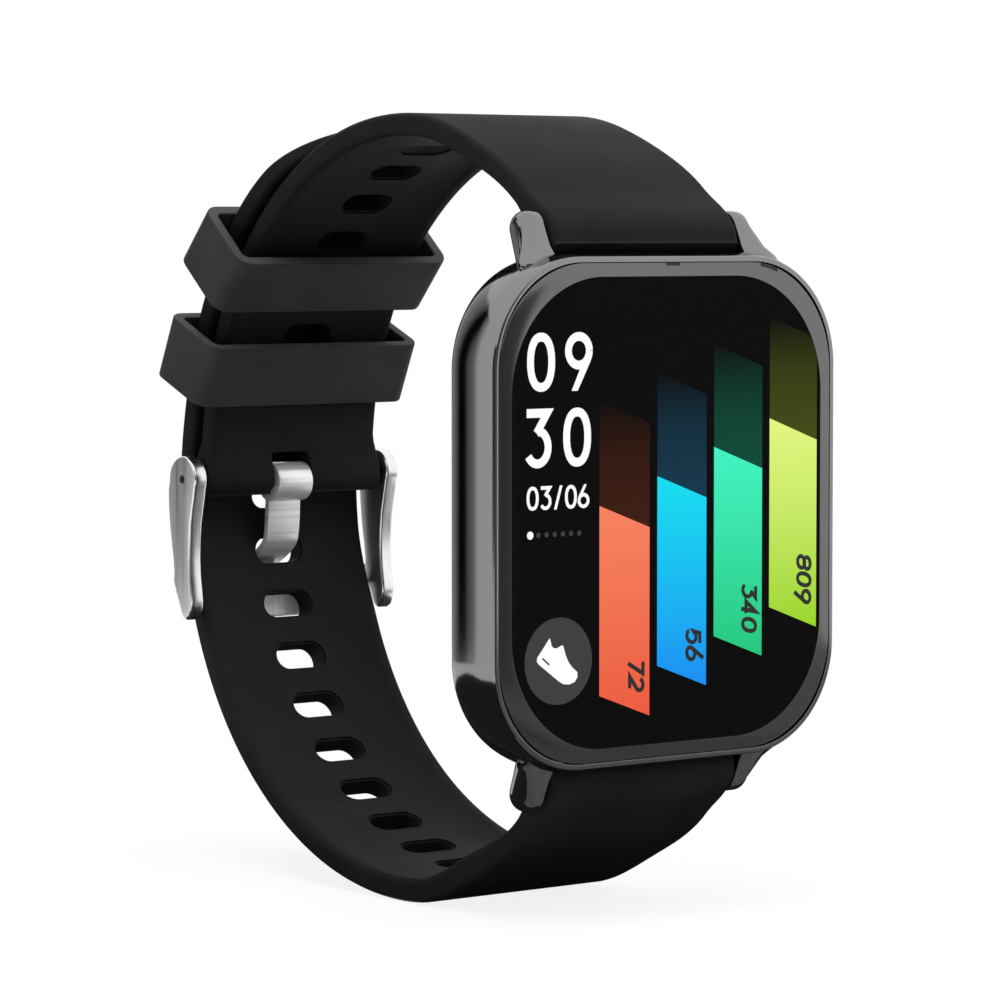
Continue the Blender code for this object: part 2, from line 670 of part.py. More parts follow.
def make_glass():
    """Make the cover glass, its seal and the display bonded behind it."""
    corner = CASE_CORNER - GLASS_INSET
    edge = 0.25
    rings = []
    for inset, depth in ((edge, 0.0), (0.0, edge), (0.0, GLASS_THICKNESS)):
        rings.append([(x, depth, z) for x, z in
                      outline(GLASS_WIDTH - 2 * inset, GLASS_HEIGHT - 2 * inset, corner - inset)])
    add_part("cover_glass", loft(rings), "glass_black")
    near = GLASS_THICKNESS + CLEARANCE
    seal_ring = ((GLASS_INSET + CLEARANCE, WALL + LEDGE - 0.2), (near, near + SEAL))
    add_part("glass_gasket", band(*seal_ring), "rubber")
    inset = WALL + LEDGE + CLEARANCE
    panel = slab(CASE_WIDTH - 2 * inset, CASE_HEIGHT - 2 * inset, CASE_CORNER - inset,
                 GLASS_THICKNESS + CLEARANCE, CHASSIS_DEPTH - CLEARANCE)
    add_part("display_module", panel, "glass_black")


def band(insets, depths):
    """Return a flat ring that follows the case outline between two insets and two depths."""
    near, far = depths
    outer, inner = insets
    places = ((outer, near), (outer, far), (inner, far), (inner, near))
    return loft([case_ring(*place) for place in places], closed=True)


def make_back():
    """Make the back cover, its seal and what is set in it."""
    near = COVER_DEPTH
    tall = BACK_DEPTH - near
    under = BACK_DEPTH - COVER_WALL
    profile = ((1.3, near), (2.4, near + 0.42 * tall), (3.9, near + 0.89 * tall), (5.0, BACK_DEPTH),
               (WINDOW_INSET, BACK_DEPTH), (WINDOW_INSET, under), (5.2, under),
               (3.6, (near + under) / 2), (2.9, near))
    cover = add_part("back_cover", loft([case_ring(*place) for place in profile], closed=True),
                     "plastic_black")
    seal_gap = (near - SIDE_DEPTH - CLEARANCE) / 2
    add_part("back_gasket", band((1.4, WALL - 0.1), (SIDE_DEPTH + seal_gap, near - seal_gap)), "rubber")
    inset = WINDOW_INSET + CLEARANCE
    window = [case_ring(inset, under), case_ring(inset, BACK_DEPTH), case_ring(inset + 1.0, CASE_THICKNESS)]
    add_part("sensor_window", loft(window), "glass_black")
    contact_up = -(CASE_HEIGHT / 2 - CONTACT_FROM_END)
    magnet_far = under - CLEARANCE
    for number, hand in enumerate((-1, 1), start=1):
        spot = (hand * CONTACT_SPACING / 2, 0.0, contact_up)
        hole = rod((spot[0], BACK_DEPTH, spot[2]), CONTACT_RADIUS + CLEARANCE, 6 * COVER_WALL, "Y", 20)
        combine(cover, add_cutter(f"contact_hole_{number}", hole), "DIFFERENCE")
        steps = ((BACK_DEPTH - CONTACT_LENGTH, CONTACT_RADIUS), (BACK_DEPTH, CONTACT_RADIUS),
                 (BACK_DEPTH + 0.15, CONTACT_RADIUS - 0.15))
        add_part(f"charge_contact_{number}", turned(steps, spot, sides=20), "gold")
        magnet = turned(((magnet_far - MAGNET_THICKNESS, MAGNET_RADIUS), (magnet_far, MAGNET_RADIUS)),
                        (hand * MAGNET_SPACING / 2, 0.0, contact_up + 1.0), sides=20)
        add_part(f"charge_magnet_{number}", magnet, "steel")


def between(left, right, bottom, top):
    """Return the size and the centre of a rectangle given by its edges."""
    return (right - left, top - bottom), ((left + right) / 2, (bottom + top) / 2)


def make_inside():
    """Make the chassis, battery, boards and the other pieces sealed in the case."""
    room = CLEARANCE
    side = CAVITY_WIDTH / 2
    end = CAVITY_HEIGHT / 2
    far_plate = CHASSIS_DEPTH + CHASSIS_PLATE
    chassis = slab(CAVITY_WIDTH - 2 * room, CAVITY_HEIGHT - 2 * room, CAVITY_CORNER - room,
                   CHASSIS_DEPTH, far_plate, steps=5)
    add_part("inner_frame", chassis, "plastic_black")
    column = side - COLUMN_FROM_WALL - COLUMN_WIDTH / 2
    column_edge = column - COLUMN_WIDTH / 2
    board_bottom = 0.24 * end
    size, middle = between(-side + 4.0, column_edge - 2.5, board_bottom, end - 3.0)
    board = slab(*size, 5.0, BOARD_DEPTH, BOARD_DEPTH + BOARD_THICKNESS, middle)
    add_part("main_board", board, "board_green")
    make_board_parts(size, middle)
    rear = BACK_DEPTH - COVER_WALL - SENSOR_ROOM
    size, middle = between(-side + 3.5, column_edge - 1.0, -end + 5.9, board_bottom - 1.1)
    add_part("battery", slab(*size, 1.4, BOARD_DEPTH, rear - room, middle), "cell_grey")
    tab_near = BOARD_DEPTH + 0.1
    tab_up = middle[1] + size[1] / 2 + 0.2 + TAB_HEIGHT / 2
    tab = slab(6.0, TAB_HEIGHT, 0.3, tab_near, tab_near + TAB_THICKNESS, (middle[0], tab_up))
    add_part("battery_tab", tab, "copper_flex")
    motor_radius = MOTOR_SHARE * (BACK_DEPTH - COVER_WALL - room - BOARD_DEPTH) / 2
    motor = rod((column, BOARD_DEPTH + motor_radius, -0.405 * end), motor_radius, 0.476 * end, "Z", 20)
    add_part("vibration_motor", motor, "steel")
    speaker = slab(COLUMN_WIDTH, 0.43 * end, 1.2, BOARD_DEPTH, BOARD_DEPTH + SPEAKER_THICKNESS,
                   (column, 0.381 * end), 5)
    add_part("speaker", speaker, "plastic_black")
    window_width = CASE_WIDTH - 2 * WINDOW_INSET
    sensor_board = slab(0.74 * window_width, 0.55 * window_width, 3.0, rear, rear + SENSOR_BOARD_THICKNESS)
    add_part("sensor_board", sensor_board, "board_green")
    sensor_near = rear + SENSOR_BOARD_THICKNESS + room
    sensor = slab(0.3 * window_width, 0.14 * window_width, 0.3, sensor_near, sensor_near + SENSOR_THICKNESS)
    add_part("optical_sensor", sensor, "chip")
    flex = slab(0.24 * CAVITY_WIDTH, FLEX_THICKNESS, 0.2, far_plate + room, SIDE_DEPTH + COVER_SEAM,
                (0.0, end - 1.6))
    add_part("display_flex", flex, "copper_flex")


def make_board_parts(board, middle):
    """Make what is mounted on the main board, placed by shares of the board's size."""
    near = BOARD_DEPTH + BOARD_THICKNESS + CLEARANCE
    wide, tall = board
    mounted = (("processor_can", "steel", (0.42, 0.6), (-0.146, 0.04), CAN_THICKNESS),
               ("power_chip", "chip", (0.167, 0.3), (0.204, 0.16), CHIP_THICKNESS),
               ("radio_chip", "chip", (0.142, 0.26), (0.204, -0.24), CHIP_THICKNESS),
               ("microphone", "steel", (0.142, 0.18), (0.396, 0.22), CAN_THICKNESS))
    for name, look, size, place, thick in mounted:
        centre = (middle[0] + place[0] * wide, middle[1] + place[1] * tall)
        add_part(name, slab(size[0] * wide, size[1] * tall, 0.25, near, near + thick, centre), look)


def make_button():
    """Make the side button with its stem, and the switch that it presses."""
    reach = CASE_WIDTH / 2
    pocket_floor = reach - BUTTON_POCKET
    cap = side_pill(BUTTON_WIDTH, BUTTON_HEIGHT, pocket_floor + BUTTON_TRAVEL + CLEARANCE,
                    reach + BUTTON_PROUD)
    origin = (reach, BUTTON_DEPTH, 0.0)
    button = add_part("side_button", cap, "gunmetal", origin)
    stem_end = reach - WALL - 0.7
    stem = rod((stem_end + STEM_LENGTH / 2, BUTTON_DEPTH, 0.0), STEM_RADIUS, STEM_LENGTH, sides=20)
    combine(button, add_cutter("button_stem", stem, origin), "UNION")
    across, deep, tall = SWITCH_SIZE
    switch_at = stem_end - BUTTON_TRAVEL - 0.2 - across / 2
    switch = slab(across, tall, 0.2, BOARD_DEPTH, BOARD_DEPTH + deep, (switch_at, 0.0))
    add_part("button_switch", switch, "steel")


def make_spring_bars():
    """Make the two spring bars: a tube in each strap and the sprung tips in the lugs."""
    tube = STRAP_WIDTH - 0.4
    depth_of_bore = 3.2
    for side, label in ((1, "upper"), (-1, "lower")):
        axis = (0.0, BAR_DEPTH, side * BAR_HEIGHT)
        bar = add_part(f"{label}_spring_bar", rod(axis, BAR_RADIUS, tube), "steel", axis)
        ends = []
        for hand, name in ((-1, "left"), (1, "right")):
            ends.append(rod((hand * tube / 2, axis[1], axis[2]), BAR_TIP_RADIUS + RUNNING_FIT,
                            2 * depth_of_bore, sides=16))
            tip_out = LUG_INNER + BAR_TIP_REACH
            tip_in = tube / 2 - depth_of_bore + 1.4
            centre = (hand * (tip_out + tip_in) / 2, axis[1], axis[2])
            add_part(f"{label}_bar_tip_{name}", rod(centre, BAR_TIP_RADIUS, tip_out - tip_in, sides=16),
                     "steel", centre)
        combine(bar, add_cutter(f"{label}_bar_ends", joined(*ends), axis), "DIFFERENCE")


def main():
    """Build the whole watch."""
    clear_scene()
    make_datum()
    upper = upper_path()
    lower = lower_path(upper)
    rear_at = lower.length - tail_run(lower)
    make_mid_frame()
    make_glass()
    make_back()
    make_inside()
    make_button()
    make_spring_bars()
    make_upper_strap(upper)
    make_lower_strap(lower, rear_at)
    make_keepers(upper)
    make_buckle(lower, rear_at)


def tail_run(lower):
    """Return how far the lower strap runs on past the level of the buckle pin."""
    past = np.where((lower.points[:, 1] > PIN_HEIGHT) & (lower.points[:, 0] > APEX_DEPTH))[0][0]
    return lower.length - lower.along[past]


main()
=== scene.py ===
"""Looks for a smartwatch on a buckled silicone strap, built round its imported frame.

Pieces are modelled in watch millimetres: X to the 3 o'clock side, Y as depth behind the front of the
glass, Z to 12 o'clock. Each one is brought into the frame's metres when it leaves the bench.
"""

from __future__ import annotations

import json
import logging
import math
from collections.abc import Callable, Sequence
from dataclasses import dataclass, field
from enum import Enum

import bmesh
import bpy
import numpy as np
from mathutils import Matrix, Vector

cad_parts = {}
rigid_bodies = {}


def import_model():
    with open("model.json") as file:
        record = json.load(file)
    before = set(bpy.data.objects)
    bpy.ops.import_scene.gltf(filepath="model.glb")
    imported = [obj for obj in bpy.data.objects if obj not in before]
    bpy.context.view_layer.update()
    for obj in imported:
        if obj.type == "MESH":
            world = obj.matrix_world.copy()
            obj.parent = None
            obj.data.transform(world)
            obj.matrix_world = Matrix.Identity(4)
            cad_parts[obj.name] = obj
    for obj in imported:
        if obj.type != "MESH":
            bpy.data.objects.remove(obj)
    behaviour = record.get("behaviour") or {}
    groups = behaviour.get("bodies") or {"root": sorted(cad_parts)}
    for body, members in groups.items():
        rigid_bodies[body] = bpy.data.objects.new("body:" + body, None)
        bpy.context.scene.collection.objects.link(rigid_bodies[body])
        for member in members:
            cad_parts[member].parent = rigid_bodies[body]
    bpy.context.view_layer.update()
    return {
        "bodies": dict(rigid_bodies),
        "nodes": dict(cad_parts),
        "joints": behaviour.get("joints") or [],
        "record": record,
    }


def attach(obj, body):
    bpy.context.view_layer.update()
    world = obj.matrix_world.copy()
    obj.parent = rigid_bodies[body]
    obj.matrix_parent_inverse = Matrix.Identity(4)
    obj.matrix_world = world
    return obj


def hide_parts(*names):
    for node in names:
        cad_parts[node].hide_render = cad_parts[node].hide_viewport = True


log = logging.getLogger("watch")

MM = 0.001
CASE_THICKNESS = 10.9
TINY = 1e-3  # how near a point has to be to count as on a face
FLAT_ANGLE = 0.03  # faces that turn less than this are made one
SHARP_ANGLE = 0.6  # edges that turn more than this can be rounded
BLACK = (0.0, 0.0, 0.0)
ORIGIN = (0.0, 0.0, 0.0)
Colour = tuple[float, float, float]
Point = tuple[float, float, float]


def srgb(red: int, green: int, blue: int) -> Colour:
    """Return a screen colour of 0 to 255 as linear light."""
    return tuple(((v / 255 + 0.055) / 1.055) ** 2.4 if v > 10 else v / 255 / 12.92
                 for v in (red, green, blue))


class Facing(Enum):
    """Which way a new plate looks, as the turn that is given to it."""

    FRONT = (math.pi / 2, 0.0, 0.0)
    BACK = (-math.pi / 2, 0.0, 0.0)
    UP = (0.0, 0.0, 0.0)
    SIDE = (0.0, math.pi / 2, 0.0)


class Body(Enum):
    """The moving bodies of the frame."""

    CASE = "case"
    BUTTON = "button"
    UPPER_BAND = "upper_band"
    LOWER_BAND = "lower_band"
    KEEPER_1 = "keeper_loop_1"
    KEEPER_2 = "keeper_loop_2"
    BUCKLE = "buckle"
    TONGUE = "tongue"


class Term:
    """A shader socket that takes part in Python arithmetic."""

    def __init__(self, graph: Graph, socket: bpy.types.NodeSocket) -> None:
        """Keep the socket and the graph that it belongs to."""
        self.graph = graph
        self.socket = socket

    def math(self, operation: str, *values: Term | float) -> Term:
        """Add one Math node.

        Args:
            operation: the node's operation.
            values: its inputs in order.

        Returns:
            The node's result.
        """
        return self.graph.add("ShaderNodeMath", {"operation": operation}, dict(enumerate(values)))

    def __add__(self, other: Term | float) -> Term:
        """Return self + other."""
        return self.math("ADD", self, other)

    def __sub__(self, other: Term | float) -> Term:
        """Return self - other."""
        return self.math("SUBTRACT", self, other)

    def __mul__(self, other: Term | float) -> Term:
        """Return self * other."""
        return self.math("MULTIPLY", self, other)

    def __truediv__(self, other: Term | float) -> Term:
        """Return self / other."""
        return self.math("DIVIDE", self, other)

    def largest(self, other: Term | float) -> Term:
        """Return the greater of two values."""
        return self.math("MAXIMUM", self, other)

    def ramp(self, low: float, high: float, out_low: float = 0.0, out_high: float = 1.0) -> Term:
        """Return an eased ramp of this value.

        Args:
            low: where the ramp starts.
            high: where it ends.
            out_low: the result at the start.
            out_high: the result at the end.

        Returns:
            The eased value.
        """
        return self.graph.add("ShaderNodeMapRange", {"interpolation_type": "SMOOTHSTEP"},
                              {0: self, 1: low, 2: high, 3: out_low, 4: out_high})


class Graph:
    """The nodes of one material or world."""

    def __init__(self, tree: bpy.types.NodeTree) -> None:
        """Keep the node tree."""
        self.tree = tree

    def add(self, kind: str, settings: dict | None = None, inputs: dict | None = None,
            output: int | str = 0) -> Term:
        """Add any node.

        Args:
            kind: the node's type.
            settings: its properties, set first; "stops" fills a colour ramp.
            inputs: values or terms by socket name or number.
            output: the socket that is handed on.

        Returns:
            The chosen output.
        """
        node = self.tree.nodes.new(kind)
        for name, value in (settings or {}).items():
            if name == "stops":
                self._fill(node.color_ramp, value)
            else:
                setattr(node, name, value)
        for name, value in (inputs or {}).items():
            self.feed(node.inputs[name], value)
        return Term(self, node.outputs[output])

    def feed(self, socket: bpy.types.NodeSocket, value: Term | float | Sequence[float]) -> None:
        """Set or link one input socket.

        Args:
            socket: the input.
            value: a term to link, or a constant.
        """
        if isinstance(value, Term):
            self.tree.links.new(value.socket, socket)
        elif socket.type == "RGBA":
            socket.default_value = (*value[:3], 1.0)
        else:
            socket.default_value = value

    @staticmethod
    def _fill(ramp: bpy.types.ColorRamp, stops: Sequence[tuple[float, Colour]]) -> None:
        """Write a colour ramp's stops.

        Args:
            ramp: the colour ramp.
            stops: places and colours in order.
        """
        while len(ramp.elements) < len(stops):
            ramp.elements.new(0.5)
        for element, (place, colour) in zip(ramp.elements, stops):
            element.position = place
            element.color = (*colour, 1.0)

    def place(self, output: str = "Object") -> Term:
        """Return a texture coordinate of the piece."""
        return self.add("ShaderNodeTexCoord", output=output)

    def axes(self, vector: Term) -> tuple[Term, Term, Term]:
        """Split a vector into its three parts."""
        node = self.add("ShaderNodeSeparateXYZ", inputs={0: vector}).socket.node
        return tuple(Term(self, output) for output in node.outputs)

    def stretched(self, scale: Point) -> Term:
        """Return Object coordinates scaled along each axis."""
        return self.add("ShaderNodeMapping", inputs={"Vector": self.place(), "Scale": scale})

    def noise(self, vector: Term, scale: float, detail: float = 3.0, rough: float = 0.5) -> Term:
        """Return a noise pattern from 0 to 1.

        Args:
            vector: the coordinates.
            scale: cells per metre.
            detail: octaves.
            rough: weight of the finer octaves.

        Returns:
            The pattern.
        """
        return self.add("ShaderNodeTexNoise", inputs={"Vector": vector, "Scale": scale, "Detail": detail,
                                                      "Roughness": rough})

    def blend(self, factor: Term, first: Colour | Term, second: Colour | Term) -> Term:
        """Return a mix of two colours."""
        return self.add("ShaderNodeMix", {"data_type": "RGBA"}, {0: factor, 6: first, 7: second}, output=2)

    def bump(self, height: Term, distance: float, strength: float) -> Term:
        """Return a normal raised by a height pattern.

        Args:
            height: the pattern.
            distance: metres of height at 1.
            strength: how much of it shows.

        Returns:
            The normal.
        """
        return self.add("ShaderNodeBump",
                        inputs={"Height": height, "Distance": distance, "Strength": strength})


@dataclass(frozen=True)
class Finish:
    """A named surface finish that can be put on any piece."""

    name: str
    colour: Colour
    roughness: float
    metallic: float = 0.0

    def material(self) -> bpy.types.Material:
        """Return this finish's material, made on first use.

        Returns:
            The material.
        """
        found = bpy.data.materials.get(f"look_{self.name}")
        if found:
            return found
        made = bpy.data.materials.new(f"look_{self.name}")
        made.use_nodes = True
        shader = made.node_tree.nodes["Principled BSDF"]
        shader.inputs["Base Color"].default_value = (*self.colour, 1.0)
        shader.inputs["Roughness"].default_value = self.roughness
        shader.inputs["Metallic"].default_value = self.metallic
        self.detail(Graph(made.node_tree), shader.inputs)
        return made

    def detail(self, graph: Graph, inputs: bpy.types.NodeInputs) -> None:
        """Add faint cloudy wear to the roughness; other finishes put their own detail here."""
        cloud = graph.noise(graph.place(), 320.0)
        graph.feed(inputs["Roughness"], cloud.ramp(0.3, 0.7, self.roughness * 0.9, self.roughness * 1.12))


@dataclass(frozen=True)
class Silicone(Finish):
    """Soft moulded silicone with a fine eggshell skin and a little bloom."""

    specular: float = 0.09

    def detail(self, graph: Graph, inputs: bpy.types.NodeInputs) -> None:
        """Give the skin its fine grain, slow cloudiness and bloom.

        Args:
            graph: the material's nodes.
            inputs: the shader's input sockets.
        """
        inputs["Specular IOR Level"].default_value = self.specular
        place = graph.place()
        cloud = graph.noise(place, 150.0, 4.0)
        grain = graph.noise(place, 9000.0, 2.0)
        speck = graph.noise(place, 2600.0, 2.0)
        light = tuple(c * 1.22 + 0.0006 for c in self.colour)
        graph.feed(inputs["Base Color"], graph.blend(cloud.ramp(0.35, 0.7), self.colour, light))
        rough = cloud.ramp(0.3, 0.7, self.roughness - 0.04, self.roughness + 0.05)
        graph.feed(inputs["Roughness"], rough + speck * 0.04)
        graph.feed(inputs["Normal"], graph.bump(grain, 0.000012, 0.45))


@dataclass(frozen=True)
class Polished(Finish):
    """Dark polished metal with hairline swirl marks."""

    def detail(self, graph: Graph, inputs: bpy.types.NodeInputs) -> None:
        """Vary the polish a little, as handled metal shows.

        Args:
            graph: the material's nodes.
            inputs: the shader's input sockets.
        """
        cloud = graph.noise(graph.place(), 90.0, 5.0)
        swirl = graph.noise(graph.stretched((900.0, 900.0, 90.0)), 4.0, 2.0)
        graph.feed(inputs["Roughness"],
                   cloud.ramp(0.3, 0.75, self.roughness * 0.85, self.roughness * 1.2) + swirl * 0.012)


@dataclass(frozen=True)
class Brushed(Finish):
    """Steel brushed along one axis."""

    along: Point = (60.0, 4000.0, 60.0)
    contrast: float = 0.1

    def detail(self, graph: Graph, inputs: bpy.types.NodeInputs) -> None:
        """Draw the brush lines in colour, roughness and height.

        Args:
            graph: the material's nodes.
            inputs: the shader's input sockets.
        """
        lines = graph.noise(graph.stretched(self.along), 1.0, 3.0, 0.55)
        dark = tuple(c * (1 - self.contrast) for c in self.colour)
        graph.feed(inputs["Base Color"], graph.blend(lines.ramp(0.3, 0.65), dark, self.colour))
        graph.feed(inputs["Roughness"], lines.ramp(0.25, 0.75, self.roughness - 0.04, self.roughness + 0.05))
        graph.feed(inputs["Normal"], graph.bump(lines, 0.00001, 0.2))


@dataclass(frozen=True)
class Gloss(Finish):
    """Smooth black glass or lacquer."""

    specular: float = 0.5

    def detail(self, graph: Graph, inputs: bpy.types.NodeInputs) -> None:
        """Leave the faintest smear in the gloss.

        Args:
            graph: the material's nodes.
            inputs: the shader's input sockets.
        """
        inputs["Specular IOR Level"].default_value = self.specular
        smear = graph.noise(graph.stretched((80.0, 80.0, 30.0)), 1.0, 4.0)
        graph.feed(inputs["Roughness"], smear.ramp(0.3, 0.8, self.roughness, self.roughness * 1.5 + 0.01))


@dataclass(frozen=True)
class Glow(Finish):
    """A lit area of the display, shaded from bottom to top."""

    stops: tuple[tuple[float, Colour], ...] = ((0.0, (1.0, 1.0, 1.0)), (1.0, (1.0, 1.0, 1.0)))
    span: tuple[float, float] = (-20.0, 20.0)

    def detail(self, graph: Graph, inputs: bpy.types.NodeInputs) -> None:
        """Run the colours up the display as its own light.

        Args:
            graph: the material's nodes.
            inputs: the shader's input sockets.
        """
        inputs["Specular IOR Level"].default_value = 0.0
        _, _, up = graph.axes(graph.place())
        low, high = self.span
        level = (up * (1 / MM) - low) / (high - low)
        colour = graph.add("ShaderNodeValToRGB", {"stops": self.stops}, {0: level})
        graph.feed(inputs["Emission Color"], colour)
        inputs["Emission Strength"].default_value = 1.0


@dataclass(frozen=True)
class Moulded(Finish):
    """Fine spark-textured plastic."""

    grain: float = 4200.0

    def detail(self, graph: Graph, inputs: bpy.types.NodeInputs) -> None:
        """Add the texture of the mould.

        Args:
            graph: the material's nodes.
            inputs: the shader's input sockets.
        """
        place = graph.place()
        pits = graph.noise(place, self.grain, 3.0, 0.6)
        cloud = graph.noise(place, 200.0)
        light = tuple(c * 1.3 + 0.001 for c in self.colour)
        graph.feed(inputs["Base Color"], graph.blend(cloud.ramp(0.3, 0.7), self.colour, light))
        graph.feed(inputs["Roughness"], pits.ramp(0.3, 0.7, self.roughness - 0.06, self.roughness + 0.08))
        graph.feed(inputs["Normal"], graph.bump(pits, 0.00002, 0.5))


@dataclass(frozen=True)
class Board(Finish):
    """Solder-masked circuit board with faint tracks."""

    def detail(self, graph: Graph, inputs: bpy.types.NodeInputs) -> None:
        """Draw tracks as a stepped pattern under the mask.

        Args:
            graph: the material's nodes.
            inputs: the shader's input sockets.
        """
        tracks = graph.add("ShaderNodeTexBrick", None,
                           {"Vector": graph.stretched((900.0, 900.0, 900.0)), "Scale": 1.0}, output=1)
        lit = tuple(min(c * 2.2 + 0.01, 1.0) for c in self.colour)
        graph.feed(inputs["Base Color"], graph.blend(tracks, self.colour, lit))
        graph.feed(inputs["Normal"], graph.bump(tracks, 0.00003, 0.4))


class Looks:
    """Every finish of the watch."""

    STRAP = Silicone("strap_silicone", srgb(20, 20, 21), 0.6)
    KEEPER = Silicone("keeper_silicone", srgb(42, 42, 43), 0.55)
    # Lighter copy of the keeper silicone for the rim faces: a painted highlight where light falls on the
    # rims.
    KEEPER_RIM_HIGHLIGHT = Silicone("keeper_rim_painted_highlight", srgb(60, 60, 61), 0.5)
    CASE = Polished("case_gunmetal", (0.26, 0.26, 0.26), 0.1, 1.0)
    BUTTON = Polished("button_gunmetal", (0.25, 0.25, 0.255), 0.14, 1.0)
    BEZEL = Gloss("glass_border", (0.165, 0.165, 0.168), 0.13, 1.0)
    SCREEN = Gloss("screen_black", srgb(12, 12, 12), 0.35, 0.0, 0.0)
    # Near-black painted shade for the slits in the gap round the glass and for the buckle pin, so that they
    # read as dark holes.
    GAP_SHADE = Finish("painted_gap_shade", (0.006, 0.006, 0.006), 0.5)
    STEEL_FLAT = Brushed("buckle_steel", (0.97, 0.97, 0.97), 0.23, 1.0, (2600.0, 2600.0, 45.0), 0.12)
    STEEL_SIDE = Brushed("buckle_side_steel", (0.95, 0.95, 0.95), 0.34, 1.0, (2600.0, 2600.0, 30.0), 0.1)
    STEEL_SATIN = Brushed("plate_steel", (0.95, 0.95, 0.95), 0.6, 0.3, (2600.0, 2600.0, 70.0), 0.14)
    STEEL_TONGUE = Brushed("tongue_steel", (0.98, 0.98, 0.98), 0.32, 0.7, (70.0, 2600.0, 2600.0), 0.22)
    STEEL_PLAIN = Polished("pin_steel", (0.6, 0.59, 0.58), 0.2, 1.0)
    BACK = Moulded("back_plastic", srgb(30, 30, 31), 0.42)
    WINDOW = Gloss("sensor_glass", (0.008, 0.008, 0.010), 0.05)
    GOLD = Polished("contact_gold", (0.83, 0.60, 0.24), 0.2, 1.0)
    RUBBER = Silicone("seal_rubber", srgb(20, 20, 20), 0.7)
    BOARD = Board("board_green", (0.02, 0.10, 0.05), 0.45)
    CELL = Moulded("cell_wrap", (0.32, 0.32, 0.34), 0.38, 0.3, 900.0)
    FLEX = Brushed("copper_flex", (0.45, 0.22, 0.06), 0.4, 0.4)
    CHIP = Moulded("chip_resin", (0.05, 0.05, 0.055), 0.42)
    CAN = Brushed("shield_can", (0.62, 0.61, 0.60), 0.3, 1.0)


def deselect() -> None:
    """Leave edit mode and select nothing."""
    if bpy.context.object and bpy.context.object.mode != "OBJECT":
        bpy.ops.object.mode_set(mode="OBJECT")
    bpy.ops.object.select_all(action="DESELECT")


